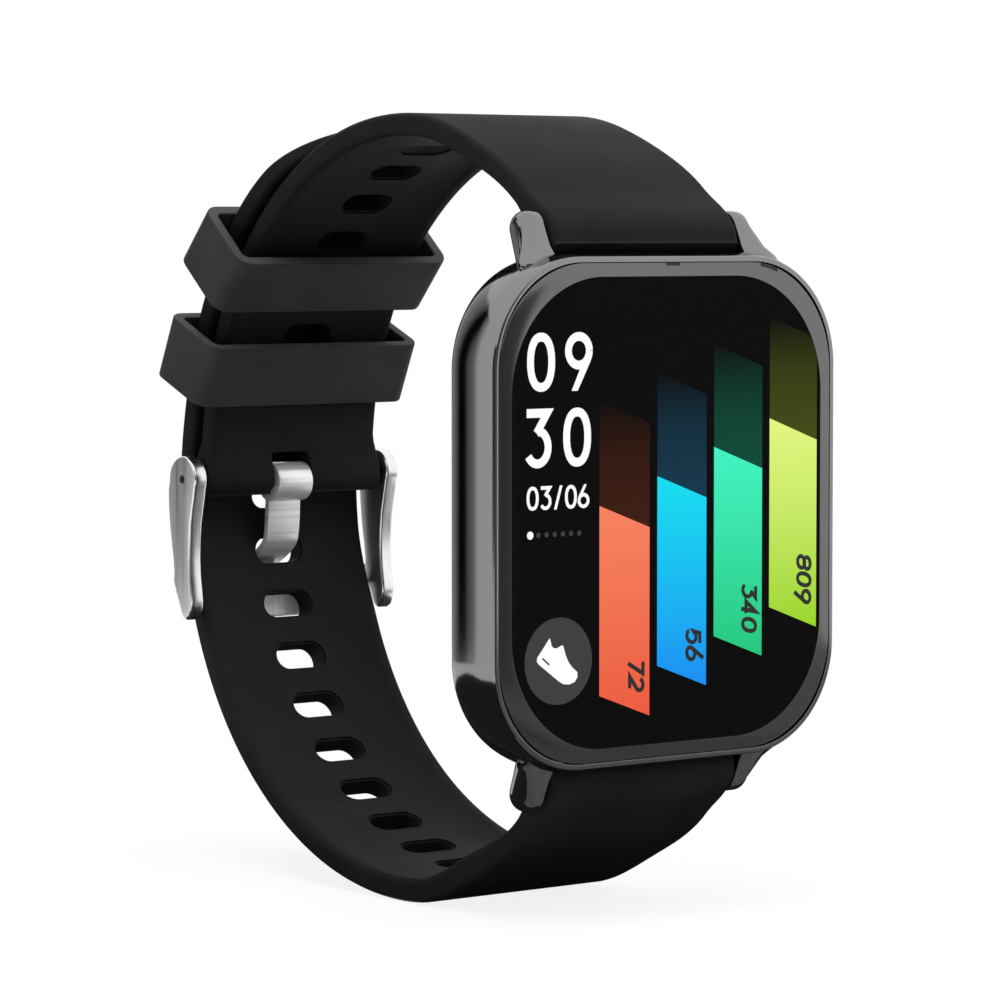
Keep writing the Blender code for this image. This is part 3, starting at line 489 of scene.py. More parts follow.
class Bench:
    """One piece on the modelling bench, shaped by hand-style steps in watch millimetres."""

    def __init__(self, name: str) -> None:
        """Name the piece; a first shape is added by one of the next methods."""
        self.name = name
        self.item: bpy.types.Object | None = None

    def _take(self) -> Bench:
        """Take the object that an operator has just added.

        Returns:
            The bench, in edit mode.
        """
        self.item = bpy.context.object
        self.item.name = self.name
        self.item.data.name = self.name
        bpy.ops.object.transform_apply(location=True, rotation=True, scale=True)
        return self.open()

    def plate(self, size: tuple[float, float], corner: float = 0.0, steps: int = 8,
              place: Point = ORIGIN, facing: Facing = Facing.FRONT) -> Bench:
        """Add a flat plate with round corners.

        Args:
            size: its width and height.
            corner: the corners' radius.
            steps: segments of each corner.
            place: its middle.
            facing: the way that it looks.

        Returns:
            The bench, in edit mode with the plate selected.
        """
        deselect()
        bpy.ops.mesh.primitive_plane_add(size=1.0, location=place, rotation=facing.value)
        bpy.context.object.scale = (*size, 1.0)
        self._take()
        if corner:
            bpy.ops.mesh.bevel(offset=corner, segments=steps, affect="VERTICES")
        return self

    def disc(self, radius: float, place: Point, facing: Facing, sides: int = 40) -> Bench:
        """Add a round plate.

        Args:
            radius: its radius.
            place: its middle.
            facing: the way that it looks.
            sides: its number of sides.

        Returns:
            The bench, in edit mode with the disc selected.
        """
        deselect()
        bpy.ops.mesh.primitive_circle_add(vertices=sides, radius=radius, fill_type="NGON", location=place,
                                          rotation=facing.value)
        return self._take()

    def rod(self, radius: float, ends: tuple[float, float], middle: tuple[float, float],
            sides: int = 40) -> Bench:
        """Make a round rod that lies across the watch.

        Args:
            radius: its radius.
            ends: X of its two ends.
            middle: depth and height of its axis.
            sides: its number of sides.

        Returns:
            The bench, in object mode.
        """
        self.disc(radius, (ends[0], *middle), Facing.SIDE, sides)
        return self.pull(ends[1] - ends[0], 0.0, 0.0).solid()

    def side_view(self, outline: Sequence[tuple[float, float]], across: float) -> Bench:
        """Lay a flat side view of the watch.

        Args:
            outline: depth and height of its corners in turn.
            across: its place in X.

        Returns:
            The bench, in edit mode with the face selected.
        """
        self.disc(1.0, (across, 0.0, 0.0), Facing.SIDE, len(outline))
        depths, heights = zip(*outline)
        return self.mapped(lambda points: np.column_stack((points[:, 0], depths, heights))).open()

    def copy_of(self, node: bpy.types.Object) -> Bench:
        """Start from a copy of a frame node's mesh, merged and with its flat faces made whole.

        Args:
            node: the node.

        Returns:
            The bench, in edit mode, in watch millimetres.
        """
        deselect()
        self.item = bpy.data.objects.new(self.name, node.data.copy())
        bpy.context.scene.collection.objects.link(self.item)
        self.item.data.materials.clear()
        self._move(1 / MM, CASE_THICKNESS).open()
        bpy.ops.mesh.remove_doubles(threshold=0.0005)
        bpy.ops.mesh.dissolve_limited(angle_limit=FLAT_ANGLE)
        return self

    def _move(self, scale: float, back: float) -> Bench:
        """Resize the piece and move it back, between watch millimetres and the frame's metres.

        Args:
            scale: the new size of 1.
            back: the move in depth.

        Returns:
            The bench, in object mode.
        """
        bpy.context.view_layer.objects.active = self.item
        self.item.select_set(True)
        self.item.scale = (scale,) * 3
        self.item.location = (0.0, back, 0.0)
        bpy.ops.object.transform_apply(location=True, rotation=True, scale=True)
        return self

    def open(self) -> Bench:
        """Go into edit mode with everything selected.

        Returns:
            The bench.
        """
        bpy.ops.object.mode_set(mode="EDIT")
        bpy.ops.mesh.select_all(action="SELECT")
        return self

    def close(self) -> Bench:
        """Go back to object mode."""
        bpy.ops.object.mode_set(mode="OBJECT")
        return self

    def solid(self) -> Bench:
        """Turn every face outward and go back to object mode.

        Returns:
            The bench.
        """
        bpy.ops.mesh.select_all(action="SELECT")
        bpy.ops.mesh.normals_make_consistent(inside=False)
        return self.close()

    def pull(self, *move: float) -> Bench:
        """Extrude the selection by a move in X, depth and Z."""
        bpy.ops.mesh.extrude_region_move(TRANSFORM_OT_translate={"value": move})
        return self

    def grow(self, scale: Point, centre: Point) -> Bench:
        """Resize the selection about a point."""
        bpy.ops.transform.resize(value=scale, center_override=centre)
        return self

    def step(self, inward: float, outward: float = 0.0) -> Bench:
        """Inset the selected face and move it along its normal."""
        bpy.ops.mesh.inset(thickness=max(inward, 1e-5), depth=outward, use_even_offset=True)
        return self

    def profile(self, places: Sequence[tuple[float, float]], start: tuple[float, float]) -> Bench:
        """Step the selected face through a profile of (inset, height along its normal).

        Args:
            places: the profile's points, each further in than the last.
            start: the inset and height that the face has now.

        Returns:
            The bench, with the last face selected.
        """
        inset, height = start
        for next_inset, next_height in places:
            self.step(next_inset - inset, next_height - height)
            inset, height = next_inset, next_height
        return self

    def _choose(self, kind: str, test: Callable[[bmesh.types.BMElem], bool]) -> Bench:
        """Select the points, edges or faces that pass a test.

        Args:
            kind: VERT, EDGE or FACE.
            test: what each of them has to pass.

        Returns:
            The bench.
        """
        bpy.ops.mesh.select_mode(type=kind)
        bpy.ops.mesh.select_all(action="DESELECT")
        mesh = bmesh.from_edit_mesh(self.item.data)
        for part in {"VERT": mesh.verts, "EDGE": mesh.edges, "FACE": mesh.faces}[kind]:
            if test(part):
                part.select_set(True)
        if kind == "VERT":
            mesh.select_flush_mode()
        bmesh.update_edit_mesh(self.item.data)
        return self

    def pick(self, test: Callable[[Vector, Vector], bool]) -> Bench:
        """Select the faces whose middle and normal pass a test."""
        return self._choose("FACE", lambda face: test(face.calc_center_median(), face.normal))

    def pick_points(self, test: Callable[[Vector], bool]) -> Bench:
        """Select the points that pass a test."""
        return self._choose("VERT", lambda vert: test(vert.co))

    def round_edges(self, width: float, steps: int, test: Callable[[Vector], bool]) -> Bench:
        """Bevel the sharp edges whose middle passes a test.

        Args:
            width: the bevel's width.
            steps: its segments.
            test: which edges.

        Returns:
            The bench.
        """
        self._choose("EDGE", lambda edge: len(edge.link_faces) == 2
                     and edge.calc_face_angle(0.0) > SHARP_ANGLE
                     and test((edge.verts[0].co + edge.verts[1].co) / 2))
        bpy.ops.mesh.bevel(offset=width, segments=steps, affect="EDGES", clamp_overlap=True)
        return self

    def slices(self, cuts: Sequence[float], normal: Point) -> Bench:
        """Cut the mesh into bands by parallel planes.

        Args:
            cuts: distances along the normal.
            normal: the planes' direction.

        Returns:
            The bench.
        """
        for cut in cuts:
            bpy.ops.mesh.select_all(action="SELECT")
            bpy.ops.mesh.bisect(plane_co=tuple(c * cut for c in normal), plane_no=normal)
        return self

    def modify(self, kind: str, **settings: object) -> Bench:
        """Add a modifier, set it and apply it.

        Args:
            kind: the modifier's type.
            settings: its properties.

        Returns:
            The bench, in object mode.
        """
        self.close()
        bpy.context.view_layer.objects.active = self.item
        change = self.item.modifiers.new(kind.lower(), kind)
        for name, value in settings.items():
            setattr(change, name, value)
        bpy.ops.object.modifier_apply(modifier=change.name)
        return self

    def cut(self, tool: Bench, operation: str = "DIFFERENCE") -> Bench:
        """Cut this piece with another, or join it on, and throw the tool away.

        Args:
            tool: the other piece.
            operation: the Boolean's operation.

        Returns:
            The bench, in object mode.
        """
        deselect()
        self.modify("BOOLEAN", operation=operation, object=tool.item, solver="MANIFOLD")
        bpy.data.objects.remove(tool.item, do_unlink=True)
        return self

    def bevel(self, width: float, steps: int = 3, angle: float = 32.0) -> Bench:
        """Round every edge sharper than an angle."""
        return self.modify("BEVEL", width=width, segments=steps, limit_method="ANGLE",
                           angle_limit=math.radians(angle), use_clamp_overlap=True)

    def mapped(self, move: Callable[[np.ndarray], np.ndarray]) -> Bench:
        """Move every point at once by a function of the array of points, and turn faces outward.

        Args:
            move: the function.

        Returns:
            The bench, in object mode.
        """
        self.close()
        points = np.empty(len(self.item.data.vertices) * 3)
        self.item.data.vertices.foreach_get("co", points)
        self.item.data.vertices.foreach_set("co", move(points.reshape(-1, 3)).ravel())
        self.item.data.update()
        return self.open().solid()

    def laid(self, place: np.ndarray, out: np.ndarray, along: np.ndarray) -> Bench:
        """Lay a piece that was made round the origin on a strap.

        Args:
            place: depth and height of its middle.
            out: where its depth axis goes.
            along: where its height axis goes.

        Returns:
            The bench, in object mode.
        """
        return self.mapped(lambda points: np.column_stack(
            (points[:, 0], place + points[:, 1:2] * out + points[:, 2:3] * along)))

    def deliver(self, look: Finish, body: Body, slot: str, nodes: Sequence[str] = (),
                angle: float = 35.0, extra: Sequence[Finish] = ()) -> bpy.types.Object:
        """Bring the piece into the frame, dress it and hand it to its body.

        Args:
            look: its finish.
            body: what it moves with.
            slot: the record's material slot; not used.
            nodes: frame nodes that it stands for.
            angle: edges sharper than this stay crisp.
            extra: finishes for further material slots.

        Returns:
            The finished object.
        """
        deselect()
        self._move(MM, -CASE_THICKNESS * MM).open()
        bpy.ops.mesh.remove_doubles(threshold=1e-7)
        self.close()
        bpy.ops.object.shade_smooth_by_angle(angle=math.radians(angle))
        self.item.data.materials.clear()
        for finish in (look, *extra):
            self.item.data.materials.append(finish.material())
        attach(self.item, body.value)
        if nodes:
            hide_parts(*nodes)
        log.info("%s: %d faces on %s", self.name, len(self.item.data.polygons), body.value)
        return self.item


def smooth_step(value: np.ndarray | float) -> np.ndarray:
    """Return an eased 0 to 1 ramp."""
    held = np.clip(value, 0.0, 1.0)
    return held * held * (3 - 2 * held)


class Run:
    """A smooth run in the plane of depth and height, measured along its length."""

    def __init__(self, points: Sequence[tuple[float, float]]) -> None:
        """Measure the run through its points.

        Args:
            points: depth and height of each.
        """
        self.points = np.array(points)
        steps = np.linalg.norm(np.diff(self.points, axis=0), axis=1)
        self.along = np.concatenate(([0.0], np.cumsum(steps)))
        self.length = float(self.along[-1])

    def place(self, distance: np.ndarray) -> np.ndarray:
        """Return the points at some distances, run on straight past either end.

        Args:
            distance: distances along the run.

        Returns:
            Depth and height at each.
        """
        inside = np.clip(distance, 0.0, self.length)
        spots = np.stack([np.interp(inside, self.along, self.points[:, axis]) for axis in (0, 1)], axis=-1)
        return spots + (distance - inside)[..., None] * self.heading(inside)

    def heading(self, distance: np.ndarray) -> np.ndarray:
        """Return the unit directions of travel at some distances.

        Args:
            distance: distances along the run.

        Returns:
            A direction for each.
        """
        reach = 0.4
        low = np.clip(distance - reach, 0.0, self.length - 2 * reach)
        ends = [np.stack([np.interp(spot, self.along, self.points[:, axis]) for axis in (0, 1)], axis=-1)
                for spot in (low, low + 2 * reach)]
        step = ends[1] - ends[0]
        return step / np.linalg.norm(step, axis=-1, keepdims=True)

    def frame_at(self, distance: float) -> tuple[np.ndarray, np.ndarray, np.ndarray]:
        """Return the place, heading and left-hand normal at one distance.

        Args:
            distance: the distance along the run.

        Returns:
            The three, as depth and height.
        """
        spot = np.array(distance)
        heading = self.heading(spot)
        return self.place(spot), heading, np.array((-heading[1], heading[0]))


@dataclass
class WristLoop:
    """The two strap paths round the wrist."""

    bar_depth: float = 5.0
    bar_height: float = 24.9
    apex_depth: float = 25.9
    upper_apex: float = 34.8
    lower_apex: float = 36.38
    pin_depth: float = 57.8
    pin_height: float = 0.6
    power: float = 2.07
    tail_length: float = 40.5
    thickness: float = 2.0
    tip_thickness: float = 1.3
    layer_gap: float = 0.3
    tail_rise: float = 0.45
    tail_settles: tuple[float, float] = (26.0, 12.0)
    barrel: float = 1.75
    upper: Run = field(init=False)
    lower: Run = field(init=False)
    rear_at: float = field(init=False)

    def __post_init__(self) -> None:
        """Draw both paths."""
        quarter = self._quarter(self.upper_apex, self.pin_depth, self.pin_height)
        self.upper = Run(self._arc(self.upper_apex) + quarter)
        self.lower = Run(self._lower_points())
        points = self.lower.points
        past = np.where((points[:, 1] > self.pin_height) & (points[:, 0] > self.apex_depth))[0][0]
        self.rear_at = float(self.lower.along[past])

    def _quarter(self, apex: float, rear: float, low: float, samples: int = 90) -> list[tuple[float, float]]:
        """Return the rounded quarter from the apex to the rear, which lies at a low height.

        Args:
            apex: the apex's height.
            rear: the rear's depth.
            low: the rear's height.
            samples: number of steps.

        Returns:
            Depth and height of each point.
        """
        power = 2 / self.power
        turns = [math.pi / 2 * index / samples for index in range(samples + 1)]
        return [(self.apex_depth + (rear - self.apex_depth) * max(math.sin(turn), 0.0) ** power,
                 low + (apex - low) * max(math.cos(turn), 0.0) ** power) for turn in turns]

    def _arc(self, apex: float, samples: int = 45) -> list[tuple[float, float]]:
        """Return the arc from a spring bar up to the apex.

        Args:
            apex: the apex's height.
            samples: number of steps.

        Returns:
            Depth and height of each point.
        """
        rise = apex - self.bar_height
        run = self.apex_depth - self.bar_depth
        radius = (run ** 2 + rise ** 2) / (2 * rise)
        sweep = math.asin(run / radius)
        turns = [sweep * (1 - index / samples) for index in range(samples)]
        return [(self.apex_depth - radius * math.sin(turn), apex - radius + radius * math.cos(turn))
                for turn in turns]

    def tail_thickness(self, from_tip: np.ndarray | float) -> np.ndarray:
        """Return the tail's thickness at distances from its tip."""
        return self.tip_thickness + (self.thickness - self.tip_thickness) * smooth_step(from_tip / 16)

    def _lower_points(self, samples: int = 70) -> list[tuple[float, float]]:
        """Return the lower path: its own loop, then the tail laid over the upper strap.

        Args:
            samples: number of steps along the tail.

        Returns:
            Depth and height of each point.
        """
        at_pin = self.barrel + self.layer_gap + self.thickness / 2
        rear = self.pin_depth + at_pin
        below = self._arc(self.lower_apex) + self._quarter(self.lower_apex, rear, -self.pin_height)
        points = [(depth, -height) for depth, height in below]
        layer = self.thickness + self.layer_gap
        for index in range(1, samples + 1):
            past_pin = self.tail_length * index / samples
            lift = self.thickness / 2 + self.layer_gap
            lift += self.tail_thickness(self.tail_length - past_pin) / 2
            lift += (at_pin - layer) * (1 - smooth_step(past_pin / 9))
            start, length = self.tail_settles
            settled = 0.7 * smooth_step((past_pin - start) / length)
            lift += self.tail_rise * smooth_step(past_pin / 10) * (1 - settled)
            place, _, normal = self.upper.frame_at(self.upper.length - past_pin)
            points.append(tuple(place + lift * normal))
        return points


@dataclass
class Straps:
    """The two silicone straps, moulded flat and then bent along the loop."""

    loop: WristLoop
    width: float = 22.0
    end_width: tuple[float, float] = (20.2, 20.8)
    barrel_width: float = 1.1
    barrel_run: float = 4.5
    pin_run: float = 2.6
    fuller: tuple[float, float] = (0.12, 0.3)
    spread: float = 0.04
    flatter: tuple[float, float] = (0.36, 0.72)
    nose: float = 2.25
    notch_aside: float = -0.5
    rim: float = 1.5
    recess: float = 0.2
    slot: tuple[float, float] = (5.75, 2.6)
    slot_flare: float = 0.22
    slot_pitch: float = 5.65
    lower_slots: int = 12
    lower_past_tongue: int = 3
    upper_slots: int = 6
    upper_slot_above_pin: float = 14.45
    tongue_below_pin: float = 8.35
    notch: tuple[float, float] = (4.7, 8.0)
    band: float = 0.85
    panel_start: float = 6.0
    bore: float = 0.88
    pin_bore: float = 0.68
    flat_span: tuple[float, float] = (4.0, 18.0)
    taper_share: float = 0.6
    barrel_widens: tuple[float, float] = (4.0, 2.5)
    fuller_start: tuple[float, float] = (5.0, 9.0)
    fuller_stop: tuple[float, float] = (22.0, 6.0)
    fuller_fade: float = 10.0
    punch: tuple[float, float, float, float] = (-1.6, 0.95, 1.25, 0.9)

    def build(self) -> None:
        """Make both straps."""
        upper = self.loop.upper
        first = upper.length - self.upper_slot_above_pin - self.slot_pitch * (self.upper_slots - 1)
        top = self._moulded("strap_upper", upper.length + self.loop.barrel, 0.0,
                            first, self.upper_slots, upper.length - 5.5)
        top.mapped(lambda points: self._bent(points, upper, 1, upper.length))
        top.cut(self._bore("upper_bar_bore", self.loop.bar_depth, self.loop.bar_height, self.bore))
        top.cut(self._bore("upper_pin_bore", self.loop.pin_depth, self.loop.pin_height, self.pin_bore))
        top.cut(self._notch_tool())
        top.deliver(Looks.STRAP, Body.UPPER_BAND, "silicone_black", ["upper_strap"], 30.0)

        lower = self.loop.lower
        last = self.loop.rear_at - self.tongue_below_pin + self.slot_pitch * self.lower_past_tongue
        first = last - self.slot_pitch * (self.lower_slots - 1)
        bottom = self._moulded("strap_lower", lower.length, self.end_width[1] / 2 - 0.05,
                               first, self.lower_slots, lower.length)
        bottom.mapped(lambda points: self._bent(points, lower, -1, None))
        bottom.cut(self._bore("lower_bar_bore", self.loop.bar_depth, -self.loop.bar_height, self.bore))
        bottom.deliver(Looks.STRAP, Body.LOWER_BAND, "silicone_black", ["lower_strap"], 30.0)

    def _moulded(self, name: str, end: float, tip_round: float, first_slot: float, slots: int,
                 panel_end: float) -> Bench:
        """Mould one strap flat, with X across, Y along and Z out of the loop.

        Args:
            name: the piece's name.
            end: where it stops along its path.
            tip_round: radius of its tip's corners, or 0.
            first_slot: distance of the first slot.
            slots: number of slots.
            panel_end: where the sunken inner panel stops.

        Returns:
            The flat strap, sliced finely enough to bend.
        """
        start = -self.nose
        half = self.loop.thickness / 2
        strap = Bench(name).plate((self.width, end - start), place=(0.0, (start + end) / 2, -half),
                                  facing=Facing.UP)
        if tip_round:
            strap.pick_points(lambda point: point.y > end - TINY)
            bpy.ops.mesh.bevel(offset=tip_round, segments=18, affect="VERTICES")
            bpy.ops.mesh.select_all(action="SELECT")
        strap.pull(0.0, 0.0, 2 * half)
        strap.solid().open()
        strap.slices((self.panel_start,) if tip_round else (self.panel_start, panel_end), (0.0, 1.0, 0.0))
        strap.pick(lambda middle, normal: normal.z < -0.5 and self.panel_start < middle.y < panel_end)
        strap.step(self.rim)
        strap.step(self.recess * 2.2, -self.recess)
        stop = end + 1.0 if tip_round else end - 0.01
        strap.round_edges(0.62, 5, lambda middle: abs(abs(middle.z) - half) < TINY
                          and start + 0.01 < middle.y < stop)
        strap.solid()
        strap.cut(self._slot_row(first_slot, slots))
        strap.open()
        shares = (0.97, 0.88, 0.72, 0.5, 0.25)
        cuts = [start * share for share in shares] + list(np.arange(0.0, end - 0.1, self.band))
        if not tip_round:
            cuts += [end - self.loop.barrel * (1 - share) for share in shares]
        strap.slices(cuts, (0.0, 1.0, 0.0))
        return strap

    def _slot_row(self, first: float, count: int) -> Bench:
        """Make the row of flared slot punches for a flat strap.

        Args:
            first: distance of the first slot.
            count: number of slots.

        Returns:
            The punches, in object mode.
        """
        long, wide = self.slot
        flare = self.slot_flare
        base, low, straight, high = self.punch
        tool = Bench("slot_punch").plate((long + 2 * flare, wide + 2 * flare), wide / 2 + flare - 0.01, 9,
                                         (0.0, first, base), Facing.UP)
        tool.pull(0.0, 0.0, low).step(flare).pull(0.0, 0.0, straight).pull(0.0, 0.0, high)
        tool.grow((1 + 1.1 * flare / long, 1 + 1.1 * flare / wide, 1.0), (0.0, first, sum(self.punch)))
        return tool.solid().modify("ARRAY", count=count, use_relative_offset=False, use_constant_offset=True,
                                   constant_offset_displace=(0.0, self.slot_pitch, 0.0))

    def _bent(self, points: np.ndarray, run: Run, outward: int, pin_at: float | None) -> np.ndarray:
        """Taper, thicken and bend flat strap points along a path.

        Args:
            points: flat points.
            run: the path.
            outward: which side of the path is out of the loop.
            pin_at: distance of the barrel round the buckle pin, where there is one.

        Returns:
            Points in watch millimetres.
        """
        along = points[:, 1]
        half = self.loop.thickness / 2
        reach = self.loop.rear_at if pin_at is None else pin_at
        which = 0 if outward > 0 else 1
        taper = smooth_step(along / (self.taper_share * reach))
        wide = self.width + (self.end_width[which] - self.width) * taper
        body = np.full_like(along, half)
        if pin_at is None:
            body = np.minimum(body, self.loop.tail_thickness(run.length - along) / 2)
        thick = self._barrel(np.maximum(along, along * self.loop.barrel / self.nose), body, self.barrel_run)
        if pin_at is not None:
            thick = np.maximum(thick, self._barrel(pin_at - along, body, self.pin_run))
            before, length = self.barrel_widens
            wide = wide + self.barrel_width * smooth_step((along - pin_at + before) / length)
        heading = run.heading(np.clip(along, 0.0, run.length))
        normal = outward * np.stack((-heading[:, 1], heading[:, 0]), axis=-1)
        share = points[:, 2] / half
        start, length = self.fuller_start
        stop = reach - self.fuller_stop[which]
        inner = np.maximum(-share, 0.0) * smooth_step((along - start) / length)
        inner = inner * smooth_step((stop - along) / self.fuller_fade)
        start, length = self.flat_span
        flat = self.flatter[which] * np.sin(np.pi * np.clip((along - start) / length, 0.0, 1.0)) ** 2
        lift = share * thick - self.fuller[which] * inner - flat
        spots = run.place(along) + lift[:, None] * normal
        return np.column_stack((points[:, 0] * wide / self.width * (1 + which * self.spread * inner), spots))

    def _barrel(self, distance: np.ndarray, body: np.ndarray, length: float) -> np.ndarray:
        """Return half thicknesses where a round barrel at distance 0 runs into the body.

        Args:
            distance: distances from the barrel's axis, negative beyond it.
            body: half thicknesses away from the barrel.
            length: how far the barrel takes to run in.

        Returns:
            Half thicknesses.
        """
        nose = np.sqrt(np.maximum(self.loop.barrel ** 2 - distance ** 2, 0.02))
        run_in = body + (self.loop.barrel - body) * (1 - smooth_step(distance / length))
        return np.where(distance <= 0, nose, run_in)

    def _bore(self, name: str, depth: float, height: float, radius: float) -> Bench:
        """Make the tool that drills a barrel."""
        return Bench(name).rod(radius, (-self.width, self.width), (depth, height), 32)

    def _notch_tool(self) -> Bench:
        """Make the tool that notches the rear barrel for the tongue.

        Returns:
            The tool, in object mode.
        """
        wide, tall = self.notch
        middle = (self.notch_aside, self.loop.pin_depth + 5.0, self.loop.pin_height - 1.6)
        return Bench("notch_tool").plate((wide, tall), 0.5, 6, middle).pull(0.0, -10.0, 0.0).solid()


@dataclass
class Keepers:
    """Two loose loops that hold the tail down."""

    loop: WristLoop
    wall: float = 1.15
    inner: tuple[float, float] = (23.3, 6.2)
    height: float = 6.3
    corner: float = 1.7
    tilt: float = 7.0
    from_pin: tuple[float, float] = (22.1, 11.5)
    aside: tuple[float, float] = (-0.38, -0.22)
    sunk: float = 0.38
    edge_share: float = 0.97

    def build(self) -> None:
        """Make one loop at each place."""
        lift = (self.loop.thickness + self.loop.layer_gap) / 2 + self.loop.tail_rise - self.sunk
        wide, deep = (size + 2 * self.wall for size in self.inner)
        for number, (distance, aside) in enumerate(zip(self.from_pin, self.aside), start=1):
            ring = Bench(f"keeper_loop_{number}").plate((wide, deep), self.corner, 8,
                                                        (aside, 0.0, -self.height / 2), Facing.UP)
            ring.pull(0.0, 0.0, self.height)
            ring.pick(lambda middle, normal: abs(normal.z) > 0.9)
            bpy.ops.mesh.inset(thickness=self.wall, use_even_offset=True, use_individual=True)
            bpy.ops.mesh.bridge_edge_loops()
            ring.close().bevel(0.13, 3, 40.0)
            place, heading, normal = self.loop.upper.frame_at(self.loop.upper.length - distance)
            place = place + lift * normal
            lean = math.radians(self.tilt)
            outward = math.cos(lean) * normal - math.sin(lean) * heading
            upward = math.cos(lean) * heading + math.sin(lean) * normal
            ring.laid(place, outward, upward)
            loop = ring.deliver(Looks.KEEPER, Body(f"keeper_loop_{number}"), "silicone_black",
                                [f"keeper_{number}"], 30.0, [Looks.KEEPER_RIM_HIGHLIGHT])
            # Rim faces, square to the strap's run, take the lighter silicone: a painted highlight.
            edge = Vector((0.0, *upward))
            for face in loop.data.polygons:
                face.material_index = int(abs(face.normal.dot(edge)) > self.edge_share)


@dataclass
class Case:
    """The polished middle of the case, with its glass seat and four lugs."""

    width: float = 41.0
    height: float = 46.0
    corner: float = 10.3
    waist: float = 2.6
    side_depth: float = 6.6
    rim: float = 0.82
    wall: float = 2.0
    lug_inner: float = 11.25
    lug_thickness: float = 2.3
    lug_radius: float = 1.6
    lug_round: float = 1.3
    lug_flare: float = 2.0
    lug_tip: tuple[float, float] = (5.35, 25.15)
    bar: tuple[float, float] = (5.0, 24.9)

    def build(self) -> None:
        """Make the case and join its lugs."""
        shell = Bench("case_middle").plate((self.width, self.height), self.corner, 28,
                                           (0.0, self.waist, 0.0))
        shell.pull(0.0, -0.3, 0.0)
        front = [(0.03, 0.45), (0.08, 0.85), (0.15, 1.25), (0.24, 1.7), (0.31, 2.02), (0.35, 2.13),
                 (0.41, 2.2), (0.49, 2.23)]
        shell.profile(front, (0.0, 0.0))
        top = front[-1]
        shell.profile([(self.rim, top[1] - 0.02), (self.rim + 0.04, top[1] - 0.2),
                       (self.rim + 0.05, top[1] - 1.6), (self.wall, top[1] - 1.62)], top)
        shell.pick(lambda middle, normal: normal.y > 0.9 and middle.y > self.waist - 0.2)
        back = [(0.95 * (1 - math.cos(turn)), (self.side_depth - self.waist) * math.sin(turn))
                for turn in np.linspace(0, math.pi / 2 * 0.93, 12)[1:]]
        shell.profile(back, (0.0, 0.0))
        last = back[-1]
        shell.profile([(last[0] + 0.2, last[1] + 0.02), (self.wall, last[1] + 0.02),
                       (self.wall + 0.02, last[1] - 1.5)], last)
        shell.close()
        for side in (1, -1):
            for hand in (1, -1):
                shell.cut(self._lug(side, hand), "UNION")
        for name, tool in self._pockets().items():
            log.debug("cutting %s", name)
            shell.cut(tool)
        shell.deliver(Looks.CASE, Body.CASE, "gunmetal", ["mid_frame"], 28.0)

    def _lug(self, side: int, hand: int) -> Bench:
        """Shape one lug as a rounded finger that leans back over its spring bar.

        Args:
            side: 1 for 12 o'clock, -1 for 6 o'clock.
            hand: 1 for the 3 o'clock side.

        Returns:
            The finger, closed.
        """
        outline = [(depth, side * height) for depth, height in self._lug_outline()]
        lug = Bench("lug").side_view(outline, hand * self.lug_inner)
        lug.pull(hand * (self.lug_thickness - self.lug_round), 0.0, 0.0)
        turns = np.linspace(0, math.pi / 2 * 0.96, 9)[1:]
        lug.profile([(self.lug_round * (1 - math.cos(turn)), self.lug_round * math.sin(turn))
                     for turn in turns], (0.0, 0.0))
        lug.solid()
        lug.bevel(0.35, 4, 50.0)

        def flared(points: np.ndarray) -> np.ndarray:
            """Spread the outer face towards the case and the front.

            Args:
                points: the lug's points.

            Returns:
                The moved points.
            """
            across, depth, height = points.T
            low = np.clip((26.0 - np.abs(height)) / 3.6, 0.0, 1.0)
            front = 1 - smooth_step((depth - 2.4) / 2.6)
            outer = smooth_step((np.abs(across) - 11.6) / 1.2)
            return np.column_stack((across + hand * self.lug_flare * low * front * outer, depth, height))

        return lug.mapped(flared)

    def _lug_outline(self) -> list[tuple[float, float]]:
        """Return the side view of an upper lug: a finger that leans back round its spring bar.

        Returns:
            Depth and height of each corner.
        """
        tip_depth, tip_height = self.lug_tip
        turns = [math.radians(-14 + 178 * index / 22) for index in range(23)]
        tip = [(tip_depth + self.lug_radius * math.cos(turn), tip_height + self.lug_radius * math.sin(turn))
               for turn in turns]
        return tip + [(2.9, 23.6), (2.2, 22.8), (1.7, 22.1), (1.6, 20.9), (5.8, 20.9), (6.1, 22.3)]

    def _pockets(self) -> dict[str, Bench]:
        """Return the tools for the scoops under the barrels, the bar holes and the button's pocket.

        Returns:
            The tools by name.
        """
        depth, height = self.bar
        tools = {}
        for side in (1, -1):
            for label, radius, reach in (("scoop", 2.55, self.lug_inner), ("bar_hole", 0.53, 12.45)):
                tools[f"{label}_{side}"] = Bench(label).rod(radius, (-reach, reach), (depth, side * height))
        pocket = Bench("button_pocket").plate((9.5, 2.5), 1.24, 8, (19.7, 5.1, 0.0), Facing.SIDE)
        pocket.pull(3.0, 0.0, 0.0)
        tools["pocket"] = pocket.solid()
        return tools


